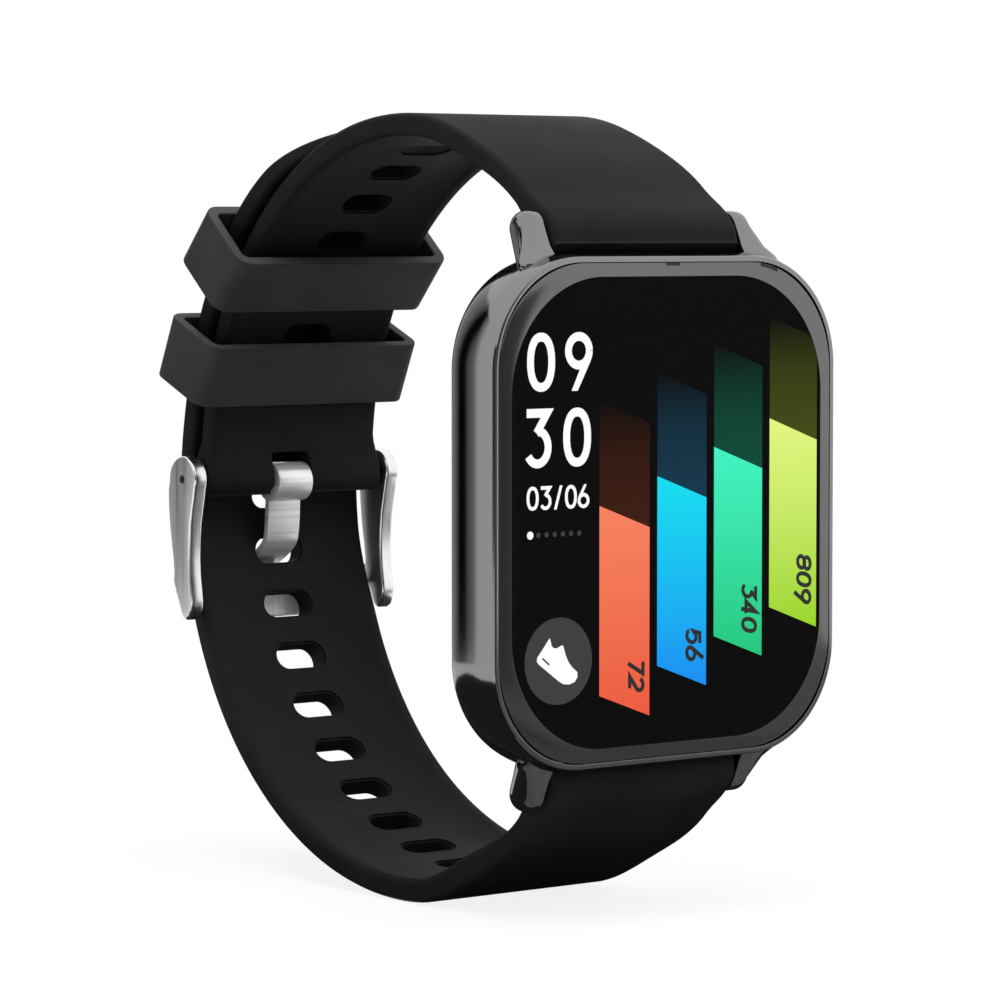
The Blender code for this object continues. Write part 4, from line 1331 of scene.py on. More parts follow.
@dataclass
class Glass:
    """The cover glass: a flat screen inside a sloped glossy border."""

    width: float = 39.25
    height: float = 44.25
    corner: float = 9.83
    edge_depth: float = 0.16
    border: tuple[float, float] = (1.325, 1.225)
    screen_corner: float = 10.4
    screen_depth: float = -0.08
    thickness: float = 1.0
    slit_height: float = 0.36

    SLITS = (("slit_middle", (0.4, 21.94), 0.0, 1.6), ("slit_right", (12.0, 21.62), -13.0, 2.1))

    def build(self) -> None:
        """Make the glass with two finishes, and the two slits at its upper edge."""
        lens = Bench("glass_lens").plate((self.width, self.height), self.corner, 28,
                                         (0.0, self.thickness, 0.0), Facing.FRONT)
        lens.pull(0.0, self.edge_depth - self.thickness, 0.0)
        fall = self.edge_depth - self.screen_depth
        lens.profile([(0.03, 0.04), (0.1, 0.06), (1.3, fall)], (0.0, 0.0))
        lens.step(0.02)
        lens.mapped(self._rounder)
        screen = lens.deliver(Looks.BEZEL, Body.CASE, "glass_black", ["cover_glass"], 12.0, [Looks.SCREEN])
        front = -(CASE_THICKNESS - self.screen_depth) * MM
        for face in screen.data.polygons:
            if abs(face.center.y - front) < 2e-5 and face.normal.y < -0.99:
                face.material_index = 1
        for name, place, turn, long in self.SLITS:
            self._slit(name, place, math.radians(turn), long)

    def _slit(self, name: str, place: tuple[float, float], angle: float, long: float) -> None:
        """Lay one dark slit in the gap round the glass, a near-black piece that paints the gap's shade.

        Args:
            name: the piece's name.
            place: X and Z of its middle.
            angle: its turn.
            long: its length.
        """
        slit = Bench(name).plate((long, self.slit_height), 0.1, 4)
        slit.pull(0.0, -0.1, 0.0)
        cos, sin = math.cos(angle), math.sin(angle)
        slit.mapped(lambda points: np.column_stack(
            (place[0] + points[:, 0] * cos - points[:, 2] * sin, points[:, 1] + 0.17,
             place[1] + points[:, 0] * sin + points[:, 2] * cos)))
        slit.deliver(Looks.GAP_SHADE, Body.CASE, "gunmetal", (), 30.0)

    def _rounder(self, points: np.ndarray) -> np.ndarray:
        """Give the screen's outline its own, rounder corners and its place inside the border.

        Args:
            points: the glass's points.

        Returns:
            The moved points.
        """
        moved = points.copy()
        inner = np.abs(points[:, 1] - self.screen_depth) < 0.004
        centre = np.array((self.width, self.height)) / 2 - self.corner
        flat = points[:, [0, 2]]
        reach = np.maximum(np.abs(flat) - centre, 0.0)
        length = np.maximum(np.linalg.norm(reach, axis=1, keepdims=True), 1e-9)
        half = np.array((self.width / 2 - self.border[0], self.height / 2 - self.border[1]))
        outline = (half - self.screen_corner + self.screen_corner * reach / length) * np.sign(flat)
        moved[inner, 0] = outline[inner, 0]
        moved[inner, 2] = outline[inner, 1]
        return moved

    def ceiling(self, across: float) -> float:
        """Return how high the lit screen reaches at some X.

        Args:
            across: the X.

        Returns:
            The height.
        """
        centre_x = self.width / 2 - self.border[0] - self.screen_corner
        centre_z = self.height / 2 - self.border[1] - self.screen_corner
        beyond = max(abs(across) - centre_x, 0.0)
        return centre_z + math.sqrt(max(self.screen_corner ** 2 - beyond ** 2, 0.0))


@dataclass
class Figures:
    """Plain figures drawn with one even stroke."""

    stroke: float = 0.15

    def lines(self, figure: str) -> list[list[tuple[float, float]]]:
        """Return the strokes of one figure in a box one high and about 0.6 wide.

        Args:
            figure: a digit other than 1, or a slash.

        Returns:
            Lists of points along each stroke.
        """
        half = 0.5 - self.stroke / 2
        wide = 0.25

        def oval(centre: float, tall: float, start: float, sweep: float) -> list[tuple[float, float]]:
            """Return part of an upright oval, in degrees from the right."""
            turns = [math.radians(start + sweep * index / 32) for index in range(33)]
            return [(wide * math.cos(turn), centre + tall * math.sin(turn)) for turn in turns]

        def zero() -> list[tuple[float, float]]:
            """Return a tall closed oval with straight sides.

            Returns:
                The oval's points.
            """
            points = []
            for turn in (math.radians(360 * index / 48) for index in range(49)):
                across, up = math.cos(turn), math.sin(turn)
                points.append((wide * math.copysign(abs(across) ** 0.86, across),
                               half * math.copysign(abs(up) ** 0.92, up)))
            return points

        bowl = 0.245
        nine = [oval(half - bowl, bowl, 0, 360), [(wide * 0.93, 0.1), (wide * 0.8, 0.02), (-0.1, -0.62)]]
        three = [[(-wide, half), (wide * 0.92, half), (-0.02, 0.09)],
                 [(-0.02, 0.09)] + oval(-half + bowl + 0.03, bowl + 0.03, 84, -232)]
        shapes = {
            "0": [zero()],
            "2": [oval(half - bowl, bowl, 160, -190) + [(-wide, -half), (wide, -half)]],
            "3": three,
            "4": [[(0.1, -0.5), (0.1, half), (-wide, -0.2), (wide, -0.2)]],
            "5": [[(wide * 0.9, half), (-wide * 0.8, half), (-wide * 0.9, 0.02)]
                  + oval(-half + bowl + 0.04, bowl + 0.04, 120, -270)],
            "6": [[(-x, -y) for x, y in line] for line in nine],
            "7": [[(-wide, half), (wide, half), (-0.06, -0.5)]],
            "8": [oval(half - 0.2, 0.2, 0, 360), oval(-half + 0.225, 0.225, 0, 360)],
            "9": nine,
            "/": [[(-0.16, -0.56), (0.16, 0.56)]],
        }
        return shapes[figure]

    def draw(self, name: str, text: str, height: float, start: tuple[float, float], pitch: float,
             look: Finish, depth: float, turn: float = 0.0, lean: float = 0.0, wide: float = 1.0) -> None:
        """Draw a row of figures as one thin inlay on the screen.

        Args:
            name: the piece's name.
            text: the figures.
            height: their height.
            start: X and Z of the first figure's middle.
            pitch: distance between figures.
            look: their finish.
            depth: depth of the inlay's middle.
            turn: turn of the row, in degrees.
            lean: slope of the figures.
            wide: stretch of each figure across.
        """
        curve = bpy.data.curves.new(name, "CURVE")
        curve.dimensions = "2D"
        curve.fill_mode = "NONE"
        curve.bevel_depth = self.stroke / 2 * height
        curve.bevel_resolution = 2
        curve.use_fill_caps = True
        angle = math.radians(turn)
        cos, sin = math.cos(angle), math.sin(angle)
        for index, figure in enumerate(text):
            for line in self.lines(figure):
                spline = curve.splines.new("POLY")
                spline.points.add(len(line) - 1)
                for point, (across, up) in zip(spline.points, line):
                    right = pitch * index + (across * wide + up * lean) * height
                    rise = up * height
                    point.co = (start[0] + right * cos - rise * sin,
                                start[1] + right * sin + rise * cos, 0, 1)
        deselect()
        item = bpy.data.objects.new(name, curve)
        bpy.context.scene.collection.objects.link(item)
        bpy.context.view_layer.objects.active = item
        item.select_set(True)
        bpy.ops.object.convert(target="MESH")
        bench = Bench(name)
        bench.item = bpy.context.object
        low, high = (start[1] - height / 2, start[1] + height / 2) if not turn else (-99.0, 99.0)
        bench.mapped(lambda points: np.column_stack(
            (points[:, 0], depth - points[:, 2] * 0.02, np.clip(points[:, 1], low, high))))
        bench.deliver(look, Body.CASE, "display_panel", (), 30.0)


@dataclass
class Screen:
    """What the display shows: plain figures, four bars and a step mark."""

    glass: Glass
    depth: float = -0.098
    bar_left: float = -8.33
    bar_pitch: float = 6.77
    bar_width: float = 5.86
    bar_drop: float = 2.12
    bar_top: float = 0.68
    bar_bottom: float = -16.19
    top_rise: float = 2.4
    bottom_rise: float = 2.27
    dim_height: float = 9.3
    disc_centre: tuple[float, float] = (-13.03, -12.79)
    disc_radius: float = 3.85

    WHITE = Glow("screen_white", BLACK, 0.4)
    INK = Finish("screen_ink", srgb(20, 18, 18), 0.5)
    DISC = Glow("screen_disc", BLACK, 0.4, 0.0,
                ((0.0, srgb(66, 64, 67)), (1.0, srgb(66, 64, 67))))
    BRIGHT = (((236, 92, 64), (247, 131, 98)), ((30, 140, 243), (26, 222, 240)),
              ((38, 198, 122), (68, 244, 194)), ((154, 214, 42), (228, 247, 130)))
    DIM = ((66, 33, 22), (26, 60, 80), (21, 78, 60), (72, 77, 28))
    NUMBERS = ("72", "56", "340", "809")

    def build(self) -> None:
        """Lay every part of the picture on the screen."""
        figures = Figures()
        labels = Figures(0.2)
        for name, text, height, start, pitch, wide in (
                ("figures_hour", "09", 5.16, (-15.03, 13.5), 4.3, 0.93),
                ("figures_minute", "30", 5.2, (-15.44, 6.85), 4.52, 0.93),
                ("figures_date", "03/06", 2.1, (-15.98, 1.62), 1.45, 1.0)):
            figures.draw(name, text, height, start, pitch, self.WHITE, self.depth, wide=wide)
        self._week()
        for index in range(4):
            self._bar(index, labels)
        self._disc()

    def _flat(self, name: str, corners: Sequence[tuple[float, float]], look: Finish,
              lift: float = 0.0) -> None:
        """Lay a flat shape with the given corners on the screen.

        Args:
            name: the piece's name.
            corners: X and Z of its corners in turn.
            look: its finish.
            lift: how far it stands in front of the others.
        """
        shape = Bench(name).disc(1.0, ORIGIN, Facing.FRONT, len(corners))
        shape.close()
        for vert, (across, up) in zip(shape.item.data.vertices, corners):
            vert.co = (across, self.depth + 0.01 - lift, up)
        shape.open()
        bpy.ops.mesh.normals_make_consistent(inside=False)
        mesh = bmesh.from_edit_mesh(shape.item.data)
        if next(iter(mesh.faces)).normal.y > 0:
            bpy.ops.mesh.flip_normals()
        shape.pull(0.0, -0.006, 0.0).close()
        shape.deliver(look, Body.CASE, "display_panel", (), 30.0)

    @staticmethod
    def _round(centre: tuple[float, float], radius: float, sides: int) -> list[tuple[float, float]]:
        """Return the corners of a round shape.

        Args:
            centre: X and Z of its middle.
            radius: its radius.
            sides: its number of corners.

        Returns:
            X and Z of each corner.
        """
        turns = [2 * math.pi * step / sides for step in range(sides)]
        return [(centre[0] + radius * math.cos(turn), centre[1] + radius * math.sin(turn)) for turn in turns]

    def _bar(self, index: int, figures: Figures) -> None:
        """Lay one bar: its bright part, the dim part above it and a plain number.

        Args:
            index: which bar, from the left.
            figures: the figures for its number.
        """
        name = f"bar_{index + 1}"
        left = self.bar_left + self.bar_pitch * index
        right = left + self.bar_width
        top = self.bar_top + self.top_rise * index
        bottom = self.bar_bottom + self.bottom_rise * index
        drop = self.bar_drop
        slant = drop / self.bar_width
        low, high = (srgb(*colour) for colour in self.BRIGHT[index])
        bright = Glow(f"{name}_bright", BLACK, 0.4, 0.0, ((0.0, low), (1.0, high)), (bottom - drop, top))
        self._flat(name, ((left, bottom), (right, bottom - drop), (right, top - drop), (left, top)), bright)
        black = srgb(17, 17, 17)
        middle = srgb(*self.DIM[index])
        shade = tuple(a * 0.62 + b * 0.38 for a, b in zip(middle, black))
        dim = Glow(f"{name}_dim", BLACK, 0.4, 0.0, ((0.0, middle), (0.55, shade), (1.0, black)),
                   (top - drop, top + self.dim_height))
        steps = [right + (left - right) * share / 12 for share in range(13)]
        crest = [(x, min(top + self.dim_height - slant * (x - left), self.glass.ceiling(x) - 0.12))
                 for x in steps]
        self._flat(f"{name}_above", [(left, top), (right, top - drop), *crest], dim)
        text = self.NUMBERS[index]
        start = (right - 1.55, bottom - drop + 1.5 + 1.5 * len(text))
        figures.draw(f"{name}_number", text, 1.95, start, 1.55, self.INK, self.depth - 0.012,
                     turn=-90.0, lean=0.2, wide=1.1)

    def _week(self) -> None:
        """Lay a row of seven day dots, the first one lit."""
        for day in range(7):
            across = -16.25 + 0.93 * day
            radius = 0.36 if day == 0 else 0.24
            look = self.WHITE if day == 0 else self.DISC
            self._flat(f"day_dot_{day + 1}", self._round((across, -1.6), radius, 24), look)

    def _disc(self) -> None:
        """Lay the grey disc with a plain shoe on it."""
        x, z = self.disc_centre
        self._flat("step_disc", self._round(self.disc_centre, self.disc_radius, 64), self.DISC)
        shoe = [(-1.0, 2.1), (-2.44, 0.42), (-2.46, 0.08), (-2.2, -0.2), (0.05, -1.8), (0.54, -2.06),
                (1.2, -2.14), (1.84, -1.96), (2.16, -1.55), (2.16, -1.1), (1.57, -0.65), (1.1, -0.1),
                (0.78, 0.56), (0.6, 1.14), (0.45, 1.4), (0.12, 1.27), (-0.22, 1.15), (-0.58, 1.18),
                (-0.8, 1.42), (-0.9, 1.8)]
        self._flat("step_shoe", [(x + a, z + b) for a, b in shoe], self.WHITE, 0.01)
        mark = [(-1.9, 0.3), (-1.8, 0.42), (-1.0, -0.2), (-1.1, -0.33)]
        self._flat("step_mark", [(x + a, z + b) for a, b in mark], self.DISC, 0.015)


@dataclass
class Buckle:
    """The steel buckle: frame, pin and tongue."""

    loop: WristLoop
    set_back: float = 0.4
    arm: tuple[float, float] = (11.05, 12.55)
    arm_round: float = 0.26
    head: float = 2.26
    front_edge: tuple[tuple[float, float], ...] = (
        (-1.96, -1.57), (-1.68, -2.8), (-1.37, -4.26), (-1.19, -5.83), (-1.12, -7.63), (-1.21, -9.42),
        (-1.43, -10.9), (-1.57, -11.9), (-1.48, -12.8))
    foot: tuple[tuple[float, float], ...] = (
        (-1.12, -13.45), (-0.56, -13.8), (0.0, -13.65), (0.34, -13.1), (1.66, -10.1))
    rear_edge: tuple[tuple[float, float], ...] = (
        (1.6, -9.65), (1.56, -9.1), (1.75, -7.6), (2.0, -6.3), (2.24, -4.7), (2.4, -3.1), (2.48, -1.9),
        (2.44, -0.9))
    plate: tuple[float, float, float] = (21.8, 4.9, 0.8)
    plate_below_pin: float = 12.25
    satin: tuple[float, float] = (49.0, 9.0)
    tongue: tuple[float, float] = (3.85, 0.8)
    tongue_loop: float = 1.95
    loop_middle: tuple[float, float] = (-0.4, -0.6)
    slot_below_pin: float = 8.35
    aside: float = -0.3

    def build(self) -> None:
        """Make the frame, the pin set deep in its holes, and the tongue."""
        frame = self._arm(-1)
        frame.cut(self._arm(1), "UNION")
        frame.cut(self._crossbar(), "UNION")
        for hand in (-1, 1):
            frame.cut(self._web(hand), "UNION")
        frame.cut(self._drill(0.42, 15.0))
        body = frame.deliver(Looks.STEEL_FLAT, Body.BUCKLE, "steel", ["buckle_frame"], 38.0,
                             [Looks.STEEL_SIDE, Looks.STEEL_SATIN])
        for face in body.data.polygons:
            face.material_index = int(abs(face.normal.x) > 0.97)
            behind, half = (size * MM for size in self.satin)
            if face.center.y > behind and face.normal.y < -0.5 and abs(face.center.x) < half:
                face.material_index = 2
        reach = self.arm[1] - 0.5
        pin = Bench("buckle_axle").rod(0.6, (-reach, reach), self._from_pin([(0.0, 0.0)])[0], 32)
        pin.bevel(0.12, 3, 40.0)
        # The pin takes the near-black finish: painted shade, so that its ends read as dark holes.
        pin.deliver(Looks.GAP_SHADE, Body.BUCKLE, "steel", ["buckle_pin"], 40.0)
        self._tongue()

    def _from_pin(self, points: Sequence[tuple[float, float]]) -> list[tuple[float, float]]:
        """Return places given from the pin as depth and height."""
        start = self.loop.pin_depth + self.set_back
        return [(start + depth, self.loop.pin_height + height) for depth, height in points]

    @staticmethod
    def _side_shape(name: str, outline: Sequence[tuple[float, float]], start: float, end: float) -> Bench:
        """Extrude a side view across the watch.

        Args:
            name: the piece's name.
            outline: depth and height of its corners in turn.
            start: X of one face.
            end: X of the other.

        Returns:
            The closed solid, in edit mode.
        """
        return Bench(name).side_view(outline, start).pull(end - start, 0.0, 0.0).solid().open()

    def _arm(self, hand: int) -> Bench:
        """Make one arm: round its pin, waisted in front and cut off aslant below.

        Args:
            hand: 1 for the 3 o'clock side, -1 for the other.

        Returns:
            The arm, in object mode.
        """
        turns = [math.radians(-6 + 208 * index / 30) for index in range(31)]
        head = [(self.head * math.cos(turn), self.head * math.sin(turn)) for turn in turns]
        outline = self._from_pin([*head, *self.front_edge, *self.foot, *self.rear_edge])
        near, far = (hand * place for place in self.arm)
        arm = self._side_shape("buckle_body", outline, near, far)
        for face in (far, near):
            arm.round_edges(self.arm_round, 4, lambda middle: abs(middle.x - face) < TINY)
        return arm.solid()

    def _crossbar(self) -> Bench:
        """Make the plate behind the lower strap, with round lower corners.

        Returns:
            The plate, in object mode.
        """
        wide, tall, thick = self.plate
        bar = Bench("buckle_plate").plate((wide, tall), 1.3, 8, (0.0, -thick / 2, 0.0))
        bar.pick_points(lambda point: point.z < 0.0)
        bar.grow((0.88, 1.0, 1.0), ORIGIN)
        bpy.ops.mesh.select_all(action="SELECT")
        bar.pull(0.0, thick, 0.0)
        bar.solid().open()
        bar.round_edges(0.3, 4, lambda middle: True)
        place, heading, normal = self.loop.lower.frame_at(self.loop.rear_at - self.plate_below_pin)
        lift = self.loop.thickness / 2 + self.loop.layer_gap + thick / 2
        return bar.laid(place - lift * normal, normal, heading)

    def _web(self, hand: int) -> Bench:
        """Make the short web that carries the plate on an arm, hidden behind the arm.

        Args:
            hand: 1 for the 3 o'clock side, -1 for the other.

        Returns:
            The web, in object mode.
        """
        outline = self._from_pin([(1.0, -9.5), (2.7, -9.8), (2.95, -11.4), (0.9, -11.4)])
        web = self._side_shape("buckle_web", outline, hand * 10.6, hand * 11.25)
        return web.close()

    def _drill(self, radius: float, reach: float) -> Bench:
        """Make the tool for the small holes that show the pin's ends."""
        return Bench("pin_drill").rod(radius, (-reach, reach), self._from_pin([(0.0, 0.0)])[0], 28)

    def _tongue(self) -> None:
        """Make the flat tongue: a loop round the pin, then an S bend out through the strap's slot."""
        wide, thick = self.tongue
        slot = self.slot_below_pin
        over = self.loop.thickness / 2 + 2 * self.loop.layer_gap + self.plate[2] + thick / 2
        route = self._from_pin([(0.0, -1.0)])
        for past, lift in ((-3.2, -2.3), (-1.25, -1.8), (-0.5, -1.2), (0.0, -0.3), (0.4, 0.7), (0.9, 1.85),
                           (2.2, over - 0.2), (3.6, over), (5.6, over)):
            place, _, normal = self.loop.lower.frame_at(self.loop.rear_at - (slot + past))
            route.append(tuple(place - lift * normal))
        middle = Run(self._curve(route))
        spots = np.linspace(0.0, middle.length, 60)
        heading = middle.heading(spots)
        sideways = np.stack((-heading[:, 1], heading[:, 0]), axis=-1) * thick / 2
        centre = middle.place(spots)
        outline = [*map(tuple, centre + sideways), *map(tuple, (centre - sideways)[::-1])]
        strip = self._side_shape("buckle_hook", outline, self.aside - wide / 2, self.aside + wide / 2)
        strip.round_edges(0.13, 3, lambda point: abs(abs(point.x - self.aside) - wide / 2) < TINY)
        strip.solid()
        eye = wide / 2 + 0.12
        loop = Bench("tongue_loop").rod(self.tongue_loop, (self.aside - eye, self.aside + eye),
                                        self._from_pin([self.loop_middle])[0], 64)
        loop.bevel(0.13, 3, 40.0)
        strip.cut(loop, "UNION")
        strip.cut(self._drill(0.68, 4.0))
        strip.deliver(Looks.STEEL_TONGUE, Body.TONGUE, "steel", ["buckle_tongue"], 40.0)

    @staticmethod
    def _curve(points: Sequence[tuple[float, float]], steps: int = 8) -> list[tuple[float, float]]:
        """Return a smooth curve through points, eased between each pair by its neighbours.

        Args:
            points: the points.
            steps: steps between each pair.

        Returns:
            The curve's points.
        """
        spots = np.array([points[0], *points, points[-1]])
        curve = []
        for before, start, end, after in zip(spots, spots[1:], spots[2:], spots[3:]):
            for share in np.arange(steps) / steps:
                curve.append(tuple(0.5 * (2 * start + (end - before) * share
                                          + (2 * before - 5 * start + 4 * end - after) * share ** 2
                                          + (3 * start - before - 3 * end + after) * share ** 3)))
        return [*curve, tuple(points[-1])]


@dataclass
class Back:
    """The back cover with its sensor window and contacts, and the side button."""

    nodes: dict[str, bpy.types.Object]
    width: float = 41.0
    height: float = 46.0
    corner: float = 10.7
    near: float = 7.3
    far: float = 10.4
    window_inset: float = 9.0

    def build(self) -> None:
        """Make the cover, the window, the button and the charging contacts."""
        inset = 1.5
        cover = Bench("back_shell").plate((self.width - 2 * inset, self.height - 2 * inset),
                                          self.corner - inset, 24, (0.0, self.near, 0.0), Facing.BACK)
        cover.pull(0.0, 0.02, 0.0)
        tall = self.far - self.near - 0.02
        curve = [(0.42, 0.43), (1.25, 1.43), (1.7, 1.95), (2.1, 2.4), (2.55, 2.76), (3.1, 2.96), (3.9, tall)]
        cover.profile(curve, (0.0, 0.0))
        edge = self.window_inset - inset
        cover.profile([(edge - 0.15, tall), (edge, tall - 0.12), (edge + 0.02, tall - 1.1)], curve[-1])
        cover.close()
        for hand in (-1, 1):
            hole = Bench("contact_hole").disc(1.12, (hand * 2.6, self.far - 0.7, -16.0), Facing.BACK, 32)
            hole.pull(0.0, 3.0, 0.0)
            cover.cut(hole.solid())
        cover.deliver(Looks.BACK, Body.CASE, "plastic_black", ["back_cover"], 30.0)
        self._window()
        button = Bench("button_cap").copy_of(self.nodes["side_button"])
        button.close().bevel(0.3, 4, 45.0)
        button.deliver(Looks.BUTTON, Body.BUTTON, "gunmetal", ["side_button"], 40.0)
        for number in (1, 2):
            contact = Bench(f"charge_pad_{number}").copy_of(self.nodes[f"charge_contact_{number}"])
            contact.close().bevel(0.08, 3, 30.0)
            contact.deliver(Looks.GOLD, Body.CASE, "gold", [f"charge_contact_{number}"], 40.0)

    def _window(self) -> None:
        """Make the raised sensor window."""
        inset = self.window_inset + 0.3
        window = Bench("sensor_dome").plate((self.width - 2 * inset, self.height - 2 * inset), 2.9, 14,
                                            (0.0, self.far - 1.1, 0.0), Facing.BACK)
        window.pull(0.0, 1.1, 0.0)
        window.profile([(0.12, 0.2), (0.4, 0.36), (1.0, 0.47), (1.6, 0.5)], (0.0, 0.0))
        window.deliver(Looks.WINDOW, Body.CASE, "glass_black", ["sensor_window"], 30.0)


@dataclass
class Inside:
    """Finishes for the frame nodes that are sealed in the case or need no new shape."""

    nodes: dict[str, bpy.types.Object]

    def dress(self) -> None:
        """Give each node its finish."""
        looks = {
            Looks.SCREEN: ("display_module",),
            Looks.RUBBER: ("glass_gasket", "back_gasket"),
            Looks.BACK: ("inner_frame", "speaker"),
            Looks.BOARD: ("main_board", "sensor_board"),
            Looks.CHIP: ("power_chip", "radio_chip", "optical_sensor"),
            Looks.CAN: ("processor_can", "microphone", "vibration_motor", "button_switch"),
            Looks.CELL: ("battery",),
            Looks.FLEX: ("battery_tab", "display_flex"),
            Looks.STEEL_PLAIN: ("charge_magnet_1", "charge_magnet_2", "upper_spring_bar", "lower_spring_bar",
                                "upper_bar_tip_left", "upper_bar_tip_right", "lower_bar_tip_left",
                                "lower_bar_tip_right"),
        }
        for look, names in looks.items():
            for name in names:
                slots = self.nodes[name].data.materials
                slots.clear()
                slots.append(look.material())
                log.info("%s dressed in %s", name, look.name)


@dataclass(frozen=True)
class Card:
    """A card that shows only in reflections, lit evenly or shaded from one side to the other.

    Its azimuth is counted from the 9 o'clock side towards the front of the watch.
    """

    name: str
    azimuth: float
    elevation: float
    size: tuple[float, float]
    stops: tuple[tuple[float, float], ...]
    distance: float = 0.42
    lying_at: float | None = None

    @property
    def direction(self) -> Point:
        """Return where the card stands, seen from the watch."""
        turn, rise = math.radians(self.azimuth), math.radians(self.elevation)
        return (-math.cos(turn) * math.cos(rise), -math.sin(turn) * math.cos(rise), math.sin(rise))

    def material(self) -> bpy.types.Material:
        """Return the card's own glow, shaded across its width.

        Returns:
            The material.
        """
        look = bpy.data.materials.new(self.name)
        look.use_nodes = True
        graph = Graph(look.node_tree)
        across, _, _ = graph.axes(graph.place())
        stops = [(place, (level,) * 3) for place, level in self.stops]
        shade = graph.add("ShaderNodeValToRGB", {"stops": stops}, {0: across + 0.5})
        glow = graph.add("ShaderNodeEmission", None, {"Color": shade, "Strength": 1.0})
        graph.feed(look.node_tree.nodes["Material Output"].inputs["Surface"], glow)
        return look


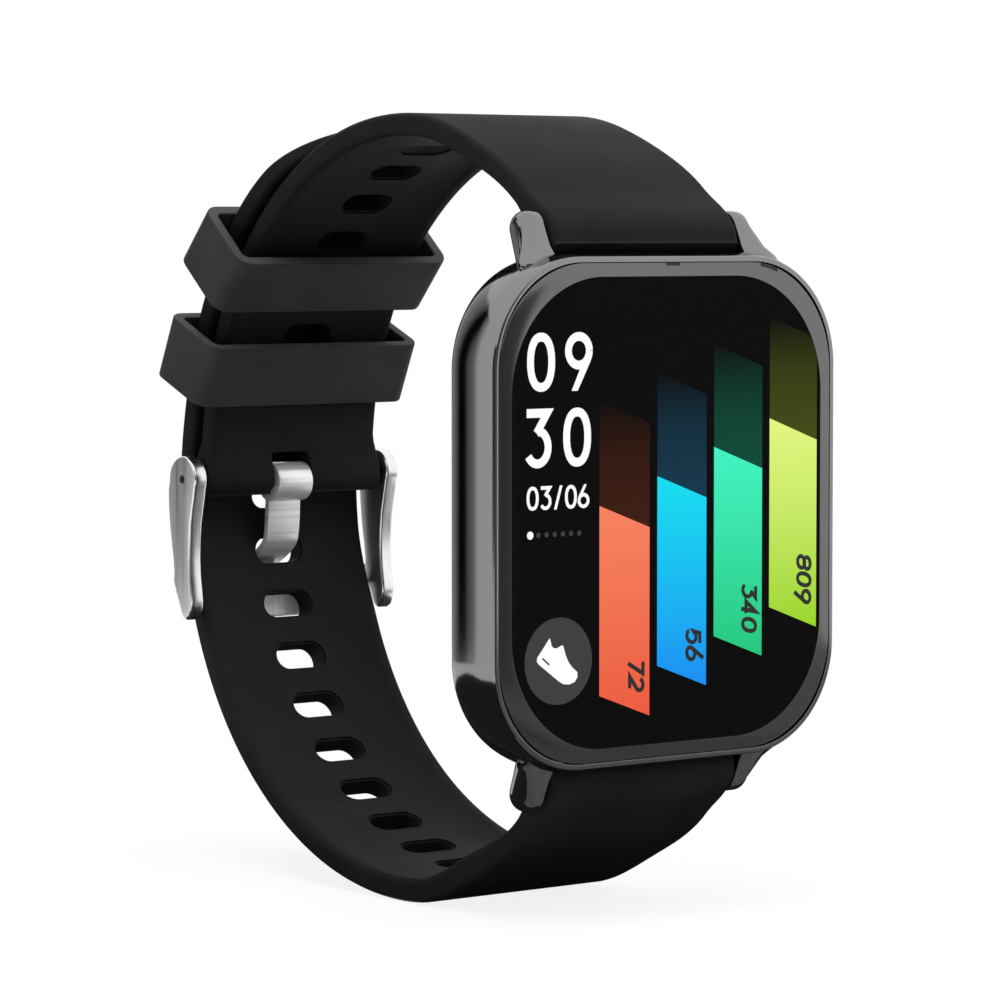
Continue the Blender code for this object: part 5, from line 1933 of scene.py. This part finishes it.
@dataclass
class Studio:
    """Camera, floor, world, lamps and reflection cards."""

    camera_place: Point = (-0.2578, -0.3051, 0.0250)
    back: Point = (-0.6281, -0.7757, 0.0616)
    right: Point = (0.7771, -0.6293, 0.0)
    lens: float = 157.5
    floor_level: float = -0.03742
    floor_glow: float = 0.86
    ambient: float = 0.40

    CARDS = (
        Card("card_front_left", 4.0, -2.0, (0.28, 0.35), ((0.0, 0.05), (1.0, 0.1))),
        Card("card_front", 42.0, -2.0, (0.37, 0.35), ((0.0, 0.1), (1.0, 0.14))),
        Card("card_front_near", 84.0, -2.0, (0.136, 0.1), ((0.0, 0.13), (1.0, 0.16)), 0.1212),
        Card("card_left_rear", -67.0, -2.0, (0.25, 0.35),
             ((0.0, 0.62), (0.09, 0.62), (0.45, 0.29), (0.55, 0.09), (0.58, 0.0), (0.71, 0.0), (0.73, 0.13),
              (0.78, 0.24), (0.88, 0.56), (1.0, 1.0)), 0.2),
        # A near-black card lying on the floor under the watch: a painted shadow, seen only in reflections,
        # where the floor is in the watch's shade.
        Card("card_under_shadow", -18.4, 0.0, (0.13, 0.16), ((0.0, 0.03), (1.0, 0.03)), 0.0158, -0.0371),
        Card("card_low", 125.0, 0.0, (0.22, 0.22), ((0.0, 0.3), (1.0, 0.3)), 0.15, -0.0371),
    )

    LAMPS = (
        ("key_left", (-0.985, 0.174, 0.10), 0.42, (0.30, 0.40), 0.5),
        ("top_soft", (-0.25, -0.2, 0.95), 0.5, (0.5, 0.5), 3.4),
        ("front_fill", (0.55, -0.5, 0.6), 0.6, (0.3, 0.3), 1.6),
        ("front_soft", (0.12, -0.97, -0.1), 0.6, (0.4, 0.4), 1.1),
    )

    def build(self) -> None:
        """Set up everything round the watch."""
        self._camera()
        self._world()
        self._floor()
        for lamp in self.LAMPS:
            self._lamp(*lamp)
        for card in self.CARDS:
            self._stand(card)

    def _camera(self) -> None:
        """Put the camera where the photograph was taken from."""
        back = Vector(self.back).normalized()
        right = Vector(self.right).normalized()
        up = back.cross(right)
        data = bpy.data.cameras.new("photo_camera")
        data.lens = self.lens
        data.sensor_width = 36.0
        data.clip_start = 0.01
        camera = bpy.data.objects.new("photo_camera", data)
        turn = Matrix((right, up, back)).transposed().to_4x4()
        camera.matrix_world = Matrix.Translation(self.camera_place) @ turn
        bpy.context.scene.collection.objects.link(camera)
        bpy.context.scene.camera = camera

    @staticmethod
    def _seen(graph: Graph) -> Term:
        """Return 1 for camera, mirror and glass rays.

        Args:
            graph: the nodes that it is added to.

        Returns:
            The value.
        """
        path = graph.add("ShaderNodeLightPath").socket.node
        rays = [Term(graph, path.outputs[f"Is {kind} Ray"]) for kind in ("Camera", "Glossy", "Transmission")]
        return rays[0].largest(rays[1]).largest(rays[2])

    def _world(self) -> None:
        """Make a white surround that lights the watch at a plain level."""
        world = bpy.data.worlds.new("white_surround")
        world.use_nodes = True
        graph = Graph(world.node_tree)
        background = world.node_tree.nodes["Background"].inputs
        background["Color"].default_value = (1.0, 1.0, 1.0, 1.0)
        graph.feed(background["Strength"], self._seen(graph) * (1 - self.ambient) + self.ambient)
        bpy.context.scene.world = world

    def _floor(self) -> None:
        """Lay a pale floor that reads as the white ground and keeps the watch's soft shadow."""
        deselect()
        bpy.ops.mesh.primitive_plane_add(size=8.0, location=(0.0, 0.0, self.floor_level))
        floor = bpy.context.object
        floor.name = "floor"
        look = bpy.data.materials.new("floor_white")
        look.use_nodes = True
        graph = Graph(look.node_tree)
        shader = look.node_tree.nodes["Principled BSDF"]
        shader.inputs["Base Color"].default_value = (0.85, 0.85, 0.85, 1.0)
        shader.inputs["Roughness"].default_value = 0.9
        shader.inputs["Specular IOR Level"].default_value = 0.0
        glow = graph.add("ShaderNodeEmission", inputs={"Color": (1.0, 1.0, 1.0), "Strength": 1.0})
        away = graph.add("ShaderNodeVectorMath", {"operation": "LENGTH"}, {0: graph.place()}, output=1)
        away = away.ramp(0.07, 0.2, self.floor_glow, 1.0)
        mixed = graph.add("ShaderNodeMixShader", None,
                          {0: self._seen(graph) * away, 1: Term(graph, shader.outputs[0]), 2: glow})
        graph.feed(look.node_tree.nodes["Material Output"].inputs["Surface"], mixed)
        floor.data.materials.append(look)

    @staticmethod
    def _aim(item: bpy.types.Object, direction: Point, distance: float) -> None:
        """Put an object out along a direction and turn its front to the watch.

        Args:
            item: the object.
            direction: where it stands, seen from the watch.
            distance: how far off.
        """
        out = Vector(direction).normalized()
        middle = Vector((0.0, 0.005, 0.0))
        item.location = middle + out * distance
        item.rotation_euler = out.to_track_quat("Z", "Y").to_euler()

    def _lamp(self, name: str, direction: Point, distance: float, size: tuple[float, float],
              watts: float) -> None:
        """Hang a soft box.

        Args:
            name: its name.
            direction: where it hangs, seen from the watch.
            distance: how far off.
            size: its width and height.
            watts: its power.
        """
        data = bpy.data.lights.new(name, "AREA")
        data.shape = "RECTANGLE"
        data.size, data.size_y = size
        data.energy = watts
        lamp = bpy.data.objects.new(name, data)
        lamp.visible_glossy = False
        bpy.context.scene.collection.objects.link(lamp)
        self._aim(lamp, direction, distance)

    def _stand(self, card: Card) -> None:
        """Stand or lay one reflection card, unseen except in gloss.

        Args:
            card: the card.
        """
        deselect()
        bpy.ops.mesh.primitive_plane_add(size=1.0)
        board = bpy.context.object
        board.name = card.name
        board.scale = (*card.size, 1.0)
        self._aim(board, card.direction, card.distance)
        if card.lying_at is not None:
            board.location.z = card.lying_at
            board.rotation_euler = (0.0, 0.0, 0.0)
        board.data.materials.append(card.material())
        for ray in ("camera", "diffuse", "shadow", "transmission"):
            setattr(board, f"visible_{ray}", False)


def main() -> None:
    """Build the watch and its studio."""
    logging.basicConfig(level=logging.INFO, format="%(message)s")
    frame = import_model()
    nodes = frame["nodes"]
    bpy.context.scene.view_settings.view_transform = "Standard"
    Studio().build()
    loop = WristLoop()
    Straps(loop).build()
    Keepers(loop).build()
    Case().build()
    glass = Glass()
    glass.build()
    Screen(glass).build()
    Buckle(loop).build()
    Back(nodes).build()
    Inside(nodes).dress()


if __name__ == "__main__":
    main()
